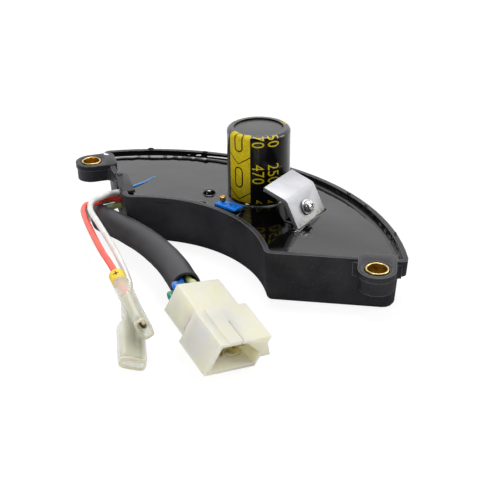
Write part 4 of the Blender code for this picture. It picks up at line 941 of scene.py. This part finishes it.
def printed(name, flat, ink, count, first, azimuth, lift):
    """Flat print repeated by the tree, cut into strips and laid on the film."""
    data = bpy.data.meshes.new(name + " flat")
    flat.to_mesh(data)
    flat.free()
    draft = put_in_scene(name + " flat", data)
    repeat = draft.modifiers.new("repeat", "NODES")
    repeat.node_group = REPEAT
    for item in REPEAT.interface.items_tree:
        if item.in_out == "INPUT" and item.name in ("Count", "Period", "Ink"):
            repeat[item.identifier] = {"Count": count, "Period": PRINT_PERIOD, "Ink": ink}[item.name]
    mesh = evaluated_mesh(draft)
    bpy.data.objects.remove(draft)
    width = max(abs(v.co.x) for v in mesh.verts)
    for i in range(-12, 13):
        cut_across(mesh, (width * i / 12.5, 0, 0), (1, 0, 0))
    top = STRAIGHT + ROUND + FLAT * 0.8
    for y in [STRAIGHT + ROUND * i / 6 for i in range(7)] + [top]:
        cut_across(mesh, (0, y - first, 0), (0, 1, 0), clear_outer=y == top)
    cut_across(mesh, (0, PRINT_FOOT - first, 0), (0, -1, 0), clear_outer=True)
    for vert in mesh.verts:
        vert.co = film_point(azimuth + vert.co.x / FILM_R, first + vert.co.y, lift)
    bmesh.ops.recalc_face_normals(mesh, faces=mesh.faces)
    for face in mesh.faces:
        centre = face.calc_center_median()
        away = centre - CAP_CENTRE
        away.z = max(0.0, centre.z - FILM_TOP + SHOULDER_R) * 6
        if face.normal.dot(away) < 0:
            face.normal_flip()
    return add_piece(name, mesh, ink, smooth=60.0)


# Its colour is darkened towards the foot of the can: painted shade.
gold_ink, tree, shader, place, speckle, tone = mottled_tree(
    "gold screen-printing ink", (1500.0, 3.0), ((0.3, "#b8a200"), (0.7, "#dcc400")), 0.4, None,
    {"Specular IOR Level": 0.25},
)
height = add_node(tree, "ShaderNodeSeparateXYZ", {"Vector": place})
low_down = {"Value": height.outputs["Z"], "From Min": 0.017, "From Max": 0.03, "To Min": 0.75, "To Max": 0.0}
foot_shade_amount = add_node(tree, "ShaderNodeMapRange", low_down)
shaded = {0: foot_shade_amount.outputs[0], 6: tone.outputs[0], 7: linear("#4a4208")}
ink_with_painted_shade = add_node(tree, "ShaderNodeMix", shaded, data_type="RGBA")
tree.links.new(ink_with_painted_shade.outputs[2], shader.inputs["Base Color"])
black_ink = mottled(
    "black film showing through the print", (1300.0, 3.0), ((0.35, "#080808"), (0.7, "#141412")), (0.2, 0.32)
)

band = bmesh.new()
half = STRIPE_WIDTH / 2
corners = [(-half, 0.0), (half, 0.0), (half, PRINT_PERIOD), (-half, PRINT_PERIOD)]
band.faces.new([band.verts.new((x, y, 0.0)) for x, y in corners])
printed("polarity_stripe", band, gold_ink, 4, 0.0, STRIPE_AZIMUTH, INK_LIFT)
printed("polarity_marks", stripe_marks(), black_ink, 4, -0.0063, STRIPE_AZIMUTH, LINE_LIFT)


def number_mesh(text):
    """Plain figures, turned to read down the can, as a flat mesh centred across the line."""
    font = bpy.data.curves.new("figures", "FONT")
    font.body = text
    font.size = FIGURE_HEIGHT / CAPITAL_SHARE
    font.align_x = "CENTER"
    font.space_character = 1.05
    obj = put_in_scene("figures", font)
    mesh = evaluated_mesh(obj)
    bpy.data.objects.remove(obj)
    for vert in mesh.verts:
        vert.co = Vector((vert.co.y - FIGURE_HEIGHT / 2, -vert.co.x * NARROWING, 0.0))
    return mesh


CAMERA_AZIMUTH = math.radians(-50.1)
FIGURES = (("470", -0.8), ("250", 27.3), ("85", 115.0), ("470", 200.0), ("250", 228.0))
for text, offset in FIGURES:
    title = f"figures_{text}_at_{offset:.0f}".replace("-", "minus_")
    azimuth = CAMERA_AZIMUTH + math.radians(offset)
    first = 0.0092 - PRINT_PERIOD
    printed(title, number_mesh(text), gold_ink, 4, first, azimuth, INK_LIFT)

disc_low, disc_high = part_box("capacitor_top_disc")
disc_pvc = mottled(
    "insulating disc, black fibre", (900.0, 4.0), ((0.35, "#1c1c1c"), (0.7, "#2c2c2b")), 0.3,
    (900.0, 4.0, 0.25, 0.0001),
)
disc_profile = [(0.0094, disc_low.z), (0.0097, disc_low.z + 0.0001)]
disc_profile += [(0.0097, disc_high.z), (0.0086, disc_high.z + 0.0001)]
disc_mesh = turned(disc_profile, FILM_SIDES, CAP_CENTRE)
add_piece("top_insulating_disc", disc_mesh, disc_pvc, ["capacitor_top_disc"])

drawn, tree, shader, place = new_material("drawn aluminium can")
draw = add_node(tree, "ShaderNodeMapping", {"Vector": place, "Scale": (900.0, 900.0, 40.0)})
lines = add_node(tree, "ShaderNodeTexNoise", {"Vector": draw.outputs[0], "Scale": 1.0, "Detail": 3.0})
shine = add_node(tree, "ShaderNodeMapRange", {"Value": lines.outputs["Fac"], "To Min": 0.22, "To Max": 0.42})
tree.links.new(shine.outputs[0], shader.inputs["Roughness"])
shader.inputs["Base Color"].default_value = linear("#d6d7d9")
shader.inputs["Metallic"].default_value = 1.0
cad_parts["capacitor_can"].data.materials.clear()
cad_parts["capacitor_can"].data.materials.append(drawn)


# Heat-sink bracket: aluminium sheet, sheared and bent once, its foot set in the resin.
# Rolling leaves fine lines along the sheet; handling leaves smudges and a resin smear.
FOOT = Vector((0.0279, 0.0179, 0.0166)) + TRAY_SHIFT
FOOT_HEADING = math.radians(97.1)
LEG_LEAN = math.radians(26.9)
SCREW_ALONG = -0.0006
SCREW_UP = 0.0051
STAIN_LOW, STAIN_HIGH = 0.0176, 0.0196

wide = Vector((math.cos(FOOT_HEADING), math.sin(FOOT_HEADING), 0.0))
rearward = Vector((-wide.y, wide.x, 0.0))
leg_up = rearward * math.sin(LEG_LEAN) + Vector((0, 0, 1)) * math.cos(LEG_LEAN)
leg_out = wide.cross(leg_up)
LEG = Matrix((wide, leg_up, leg_out)).transposed().to_4x4()
LEG.translation = FOOT
SCREW = LEG @ Matrix.Translation((SCREW_ALONG, SCREW_UP, 0.0))

rolled, tree, shader, place, smudge, clean = mottled_tree(
    "aluminium sheet, rolled", (170.0, 5.0), ((0.3, "#a6a6a8"), (0.75, "#b8b8ba")), (0.5, 0.66), None,
    {"Metallic": 1.0},
)
smudge.inputs["Roughness"].default_value = 0.6
drawn_out = {"Vector": place, "Rotation": (0.0, 0.0, -FOOT_HEADING), "Scale": (60.0, 1400.0, 1400.0)}
turn = add_node(tree, "ShaderNodeMapping", drawn_out)
lines = add_node(tree, "ShaderNodeTexNoise", {"Vector": turn.outputs[0], "Scale": 1.0, "Detail": 4.0})
lined = {"Height": lines.outputs["Fac"], "Strength": 0.1, "Distance": 0.00006}
bump = add_node(tree, "ShaderNodeBump", lined)
tree.links.new(bump.outputs[0], shader.inputs["Normal"])
height = add_node(tree, "ShaderNodeSeparateXYZ", {"Vector": place}).outputs["Z"]
low_down = {"Value": height, "From Min": STAIN_LOW, "From Max": STAIN_HIGH, "To Min": 1.0, "To Max": 0.0}
stain_height = add_node(tree, "ShaderNodeMapRange", low_down)
dabbed = {"Vector": place, "Scale": 900.0, "Detail": 5.0, "Roughness": 0.7}
spots = add_node(tree, "ShaderNodeTexNoise", dabbed)
patchy = {"Value": spots.outputs["Fac"], "From Min": 0.5, "From Max": 0.58}
stain_patch = add_node(tree, "ShaderNodeMapRange", patchy)
both = {0: stain_height.outputs[0], 1: stain_patch.outputs[0]}
stain = add_node(tree, "ShaderNodeMath", both, operation="MULTIPLY")
smeared = {0: stain.outputs[0], 6: clean.outputs[0], 7: linear("#8d8a6e")}
tone = add_node(tree, "ShaderNodeMix", smeared, data_type="RGBA")
tree.links.new(tone.outputs[2], shader.inputs["Base Color"])
bracket_mesh = finished("heat_sink_bracket", "bracket", 0.00018, 3)
add_piece("bent_bracket", bracket_mesh, rolled, ["heat_sink_bracket"])


# Screw, washer and nut: an M3 pan head with a cross recess clamps the transistor's tab.
# Bright zinc.
SEAT = 0.0011
HEAD_R = 0.0021
HEAD_H = 0.0017
SHANK_R = 0.0014
THREAD_PITCH = 0.0005
SCREW_TIP = -0.0069
ROOT_SHARE = 0.82
RECESS_DEPTH = 0.0011
RECESS_TURN = math.radians(20)
RECESS_HALF_WIDTH = 0.00034

bright = mottled(
    "steel, bright zinc plated", (700.0, 3.0), ((0.3, "#b9bbb8"), (0.7, "#dcdedb")), (0.2, 0.36), None,
    {"Metallic": 1.0},
)


def solid_of(name, mesh):
    data = bpy.data.meshes.new(name)
    mesh.to_mesh(data)
    mesh.free()
    obj = put_in_scene(name, data)
    return obj


profile = [(SHANK_R * 0.6, SCREW_TIP)]
for i in range(round((SEAT - SCREW_TIP) / THREAD_PITCH) - 1):
    foot = SCREW_TIP + 0.0002 + THREAD_PITCH * i
    profile += [(SHANK_R * ROOT_SHARE, foot), (SHANK_R, foot + THREAD_PITCH / 2)]
profile += [(SHANK_R * ROOT_SHARE, SEAT), (HEAD_R * 0.96, SEAT), (HEAD_R, SEAT + 0.0001)]
for i in range(8):
    a = math.pi / 2 * i / 8
    profile.append((HEAD_R * math.cos(a), SEAT + HEAD_H * 0.45 + HEAD_H * 0.55 * math.sin(a)))
screw = solid_of("screw draft", turned(profile, 48))
SQUARE = ((-1, -1), (1, -1), (1, 1), (-1, 1))
for turn in (0.0, math.pi / 2):
    spin = Matrix.Rotation(turn + RECESS_TURN, 3, "Z")
    rings = []
    for long, drop in ((0.0006, RECESS_DEPTH + 0.0003), (0.00155, 0.0)):
        z = SEAT + HEAD_H + 0.0003 - drop
        rings.append([spin @ Vector((x * long, y * RECESS_HALF_WIDTH, z)) for x, y in SQUARE])
    cut = screw.modifiers.new("recess", "BOOLEAN")
    cut.operation = "DIFFERENCE"
    cut.object = solid_of("recess", skin(rings))
mesh = evaluated_mesh(screw)
for name in ("screw draft", "recess", "recess.001"):
    bpy.data.objects.remove(bpy.data.objects[name])
mesh.transform(SCREW)
add_piece("pan_head_screw", mesh, bright, ["bracket_screw"], smooth=40.0)
for name, node, edge in (("plain_washer", "screw_washer", 0.00008), ("hexagon_nut", "bracket_nut", 0.00015)):
    add_piece(name, finished(node, node, edge), bright, [node])


# Transistor: a moulded three-lead power package, tab clamped behind the bracket.
# The tab and the leads are tinned copper, the body filled epoxy with a fine matt skin.
case_epoxy = mottled(
    "transistor epoxy, matt black", (1800.0, 3.0), ((0.3, "#161617"), (0.8, "#252526")), 0.55,
    (1800.0, 3.0, 0.3, 0.00008),
)
tinned = mottled(
    "tinned brass strip", (500.0, 4.0), ((0.3, "#c9c0aa"), (0.7, "#e6e1d4")), (0.22, 0.42), None,
    {"Metallic": 1.0},
)

TAB_BELOW_HOLE = 0.0034
CASE_LENGTH = 0.0088
transistor_mesh = finished("power_transistor", "transistor", 0.0001)
transistor = add_piece("power_package", transistor_mesh, case_epoxy, ["power_transistor"])
transistor.data.materials.append(tinned)
to_screw = SCREW.inverted()
for face in transistor.data.polygons:
    up = (to_screw @ face.center).y
    if up > -TAB_BELOW_HOLE + 0.00005 or up < -TAB_BELOW_HOLE - CASE_LENGTH - 0.00005:
        face.material_index = 1


# Trimmer: a multi-turn potentiometer, blue moulded case, brass adjusting screw at one end.
# The screw is a piece of its own, because it turns.
# Its sides are painted near black up to a ragged line just under the top: painted shade.
blue_case, tree, shader, place, mottle, tone = mottled_tree(
    "trimmer case, blue thermoset", (800.0, 3.0), ((0.3, "#0062c4"), (0.7, "#0078e2")), 0.25, None,
    {"Specular IOR Level": 0.2},
)
height = add_node(tree, "ShaderNodeSeparateXYZ", {"Vector": place})
uneven = {0: mottle.outputs["Fac"], 1: 0.0012, 2: height.outputs["Z"]}
ragged = add_node(tree, "ShaderNodeMath", uneven, operation="MULTIPLY_ADD")
low_down = {"Value": ragged.outputs[0], "From Min": 0.0186, "From Max": 0.0189, "To Min": 1.0, "To Max": 0.0}
side_shade_mask = add_node(tree, "ShaderNodeMapRange", low_down)
side_shade_inputs = {0: side_shade_mask.outputs[0], 6: tone.outputs[0], 7: linear("#08080a")}
case_with_painted_shade = add_node(tree, "ShaderNodeMix", side_shade_inputs, data_type="RGBA")
tree.links.new(case_with_painted_shade.outputs[2], shader.inputs["Base Color"])
trimmer_mesh = finished("trimmer_body", "trimmer", 0.00012)
add_piece("trimmer_case", trimmer_mesh, blue_case, ["trimmer_body"])

TRIMMER_TOP = 0.0189
TRIMMER_HEADING = math.radians(3.0)
# Plain bars stand where a real case is printed.
BARS = (
    (-0.0006, 0.0, 0.0003, 0.0022), (0.0006, 0.0003, 0.0011, 0.0004),
    (0.0016, 0.0, 0.0003, 0.0022), (0.0030, 0.0, 0.0003, 0.0022),
)
bars_at = Matrix.Translation((0.0007, -0.01097, TRIMMER_TOP + 0.00002))
bars_at = bars_at @ Matrix.Rotation(TRIMMER_HEADING, 4, "Z")
mesh = bmesh.new()
for x, y, width, depth in BARS:
    corners = [(x + i * width / 2, y + j * depth / 2, 0.0) for i, j in SQUARE]
    mesh.faces.new([mesh.verts.new(bars_at @ Vector(corner)) for corner in corners])
add_piece("trimmer_bars", mesh, black_ink)

brass = mottled(
    "turned brass", (900.0, 3.0), ((0.3, "#b8832f"), (0.7, "#e2b45c")), 0.28, None, {"Metallic": 1.0}
)
screw_mesh = finished("trimmer_screw", "adjuster", 0.00006)
add_piece("adjusting_screw", screw_mesh, brass, ["trimmer_screw"], body="trimmer_adjuster")


# Connector: a natural nylon housing, hood and wire block in one moulding, with a side latch.
# Unfilled nylon passes light, so thin walls glow warm and edges look soft.
nylon, tree, shader, place, cloud, tone = mottled_tree(
    "polyamide 66, natural", (130.0, 4.0), ((0.3, "#f3eed6"), (0.75, "#fbf8e8")), 0.36,
    (1600.0, 2.0, 0.1, 0.0001),
    {"IOR": 1.53, "Subsurface Weight": 0.8, "Subsurface Radius": (1.0, 0.88, 0.4), "Subsurface Scale": 0.006},
)
through = add_node(tree, "ShaderNodeBsdfTranslucent", {"Color": linear("#f6e8ac")})
passing = add_node(tree, "ShaderNodeMixShader", {0: 0.16, 1: shader.outputs[0], 2: through.outputs[0]})
tree.links.new(passing.outputs[0], tree.nodes["Material Output"].inputs["Surface"])
connector_mesh = finished("connector_shell", "connector", 0.0003, 3)
connector = add_piece("nylon_housing", connector_mesh, nylon, ["connector_shell"])
blades = []
for i in (1, 2, 3, 4):
    node = f"contact_blade_{i}"
    blades.append(add_piece(f"tinned_{node}", finished(node, node, 0.00012), tinned, [node]))


# Push-on terminals: brass receptacles with two rolled edges, crimped on the free leads.
# Each sits in a clear soft PVC cover, open at its mouth.
RECEPTACLE_HALF_WIDTH = 0.0031
RECEPTACLE_HALF_HEIGHT = 0.0011
STRIP = 0.0004
ROLL_R = 0.00105
CRIMP_R = 0.0014
BOOT_BARREL_R = 0.0026
BOOT_HALF_WIDTH = 0.0042
BOOT_HALF_HEIGHT = 0.0022
BOOT_WALL = 0.0006
BOOT_NECK = 0.4
CUT_BAND = 0.0004

# Clear PVC: its walls are pale and see-through, with a soft sheen over slight waves.
clear_pvc = mottled(
    "clear soft PVC", (220.0, 3.0), ((0.3, "#efefdb"), (0.7, "#f8f8ea")), 0.18, (220.0, 3.0, 0.15, 0.0005),
    {"IOR": 1.53, "Subsurface Weight": 0.4, "Subsurface Scale": 0.002, "Alpha": 0.37},
)
# The same PVC seen through its cut edge, where it is denser and a little yellow.
cut_pvc = mottled(
    "clear soft PVC, cut edge", (500.0, 3.0), ((0.3, "#d9d5b2"), (0.7, "#ebe8cf")), 0.3, None,
    {"IOR": 1.53, "Alpha": 0.78},
)


def receptacle_line():
    """Cross-section from the middle of the floor out, up and round one rolled edge."""
    middle = RECEPTACLE_HALF_WIDTH - ROLL_R
    points = [(0.0, -RECEPTACLE_HALF_HEIGHT + STRIP / 2), (middle, -RECEPTACLE_HALF_HEIGHT + STRIP / 2)]
    reach = ROLL_R - STRIP / 2
    for i in range(1, 13):
        angle = math.radians(-90 + 285 * i / 12)
        points.append((middle + reach * math.cos(angle), reach * math.sin(angle)))
    return points


def thickened(line, thickness):
    """Closed outline round an open line."""
    left, right = [], []
    for i, point in enumerate(line):
        a = Vector(line[max(i - 1, 0)])
        b = Vector(line[min(i + 1, len(line) - 1)])
        side = Vector((a.y - b.y, b.x - a.x)).normalized() * thickness / 2
        left.append(Vector(point) + side)
        right.append(Vector(point) - side)
    return left + list(reversed(right))


def extruded(outline, start, end, place):
    return skin([[place @ Vector((x, p.x, p.y)) for p in outline] for x in (start, end)])


def joined(meshes):
    whole = bmesh.new()
    for mesh in meshes:
        data = bpy.data.meshes.new("part")
        mesh.to_mesh(data)
        mesh.free()
        whole.from_mesh(data)
        bpy.data.meshes.remove(data)
    return whole


def barrel(place, start, end, radius, groove):
    """Crimped barrel: a tube with its two wings folded down into a groove on top."""
    rings = []
    for inner_side in (False, True):
        level = []
        for angle in angles(40):
            dip = groove * math.exp(-(((angle - math.pi / 2) / 0.35) ** 2))
            r = radius - dip - (STRIP * 0.8 if inner_side else 0.0)
            level.append((r * math.cos(angle), r * math.sin(angle)))
        rings.append(level)
    stations = (start, start + 0.0003, end - 0.0003, end)
    flare = (1.06, 1.0, 1.0, 1.06)
    out = [[place @ Vector((x, y * f, z * f)) for y, z in rings[0]] for x, f in zip(stations, flare)]
    inwards = reversed(list(zip(stations, flare)))
    back = [[place @ Vector((x, y * f, z * f)) for y, z in rings[1]] for x, f in inwards]
    return skin(out + back, loop=True)


def superoval(x, half_width, half_height, power):
    """Section across X, from an ellipse at power 2 to a box with round corners above it."""
    points = []
    for angle in angles(64):
        shares = (math.cos(angle), math.sin(angle))
        c, s = [math.copysign(abs(share) ** (2 / power), share) for share in shares]
        points.append(Vector((x, half_width * c, half_height * s)))
    return points


def boot_ring(x, reach, wall):
    """Section of the clear cover: round at the wire, flat and wide over the receptacle."""
    neck = reach * BOOT_NECK
    t = min(1.0, max(0.0, (x - neck * 0.72) / (neck * 0.5)))
    t = t * t * (3 - 2 * t)
    mouth = max(0.0, (x - reach * 0.9) / (reach * 0.1))
    barrel_r = BOOT_BARREL_R - wall
    wide = BOOT_HALF_WIDTH * (1 - 0.05 * mouth) - wall
    high = BOOT_HALF_HEIGHT * (1 - 0.08 * mouth) - wall
    return superoval(x, barrel_r + (wide - barrel_r) * t, barrel_r + (high - barrel_r) * t, 2.0 + 1.6 * t)


NECK_LINE = ((-0.0012, 0.0006), (-0.0015, -0.0002), (-0.0011, -0.0009), (0.0, -0.0011))
NECK_LINE += tuple((-y, z) for y, z in reversed(NECK_LINE[:3]))
BOOT_STATIONS = 40
for name, terminal in (("red", RED_TERMINAL), ("white", WHITE_TERMINAL)):
    place, reach = terminal_frame(terminal)
    mouth = reach - RECEPTACLE_SET_BACK
    low = mouth - RECEPTACLE_LENGTH
    half = thickened(receptacle_line(), STRIP)
    other = [Vector((-p.x, p.y)) for p in half]
    pieces = [
        extruded(half, low, mouth, place),
        extruded(other, low, mouth, place),
        extruded(thickened(NECK_LINE, STRIP), low - 0.0016, low + 0.0004, place),
        barrel(place, low - CRIMP_LENGTH, low - 0.003, CRIMP_R, 0.0003),
        barrel(place, low - 0.0029, low - 0.0006, CRIMP_R * 0.86, 0.00045),
    ]
    node = f"{name}_terminal"
    receptacle = add_piece(f"{name}_receptacle", joined(pieces), tinned, [node], smooth=40.0)
    xs = [reach * i / BOOT_STATIONS for i in range(BOOT_STATIONS + 1)]
    outside = [[place @ p for p in boot_ring(x, reach, 0.0)] for x in xs]
    inside = [[place @ p for p in boot_ring(x, reach, BOOT_WALL)] for x in reversed(xs)]
    cover = skin(outside + inside, loop=True)
    node = f"{name}_terminal_sleeve"
    boot = add_piece(f"{name}_clear_cover", cover, clear_pvc, [node], smooth=60.0)
    boot.data.materials.append(cut_pvc)
    to_rear = place.inverted()
    for face in boot.data.polygons:
        if (to_rear @ face.center).x > reach - CUT_BAND:
            face.material_index = 1


# Lead marker: a short soft yellow ring with a plus mark, slid on the red lead.
MARKER_R = 0.0025
MARKER_WALL = 0.0007
MARKER_EDGE = 0.00015

marker_pvc = mottled("marker PVC, yellow", (600.0, 2.0), ((0.3, "#f0c81e"), (0.7, "#ffe04a")), 0.35)
place = terminal_frame(RED_TERMINAL)[0]
rear, front = -MARKER_LENGTH - TOUCH, -TOUCH
inner_r = MARKER_R - MARKER_WALL
outside = [(MARKER_R - MARKER_EDGE, rear), (MARKER_R, rear + MARKER_EDGE)]
outside += [(MARKER_R, front - MARKER_EDGE), (MARKER_R - MARKER_EDGE, front)]
inside = [(inner_r + MARKER_EDGE, front), (inner_r, front - MARKER_EDGE)]
inside += [(inner_r, rear + MARKER_EDGE), (inner_r + MARKER_EDGE, rear)]
rings = []
for r, x in outside + inside:
    rings.append([place @ Vector((x, r * math.cos(a), r * math.sin(a))) for a in angles(48)])
marker = add_piece("yellow_marker", skin(rings, loop=True), marker_pvc, ["lead_marker"])
shown_side = place.to_3x3().inverted() @ Vector((0.45, -0.5, 0.74))
shown_angle = math.atan2(shown_side.z, shown_side.y)
mesh = bmesh.new()
for long_way, round_way in ((0.0009, 0.0002), (0.0002, 0.0009)):
    columns = []
    for k in range(9):
        angle = shown_angle + round_way * (k / 4 - 1) / MARKER_R
        spoke = Vector((0.0, math.cos(angle), math.sin(angle))) * (MARKER_R + 0.00003)
        ends = [Vector((x + (rear + front) / 2, 0, 0)) for x in (-long_way, long_way)]
        columns.append([mesh.verts.new(place @ (spoke + end)) for end in ends])
    for before, after in zip(columns, columns[1:]):
        mesh.faces.new((before[0], before[1], after[1], after[0]))
plus_mark = add_piece("plus_mark", mesh, black_ink)


# Parts under the resin and the board they stand on: seen only if the resin is taken away.
# Glass-fibre board with green mask, moulded cases, tinned leads and a rubber bung.
board_tones = ((0.3, "#1e5428"), (0.7, "#2a6b35"))
dipped_tones = ((0.3, "#2f7341"), (0.7, "#3f8a52"))
rubber_tones = ((0.3, "#1c1c1c"), (0.7, "#2a2a2a"))
hidden = {
    "circuit_board": mottled("glass-fibre board, green mask", (300.0, 4.0), board_tones, 0.45),
    "rectifier_bridge": case_epoxy,
    "control_chip": case_epoxy,
    "film_capacitor": mottled("dipped epoxy, green", (400.0, 4.0), dipped_tones, 0.3),
    "capacitor_bung": mottled("rubber bung", (700.0, 4.0), rubber_tones, 0.75),
    "capacitor_lead_1": tinned,
    "capacitor_lead_2": tinned,
}
for node, material in hidden.items():
    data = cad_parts[node].data
    data.materials.clear()
    data.materials.append(material)


# Far ends of the four harness wires: each ends in the connector, and the blue wire also
# carries the sleeve and the blades.
harness_ends = {name: [connector] for name in HARNESS_LOOPS}
harness_ends["blue_wire"] += [sleeve, *blades]
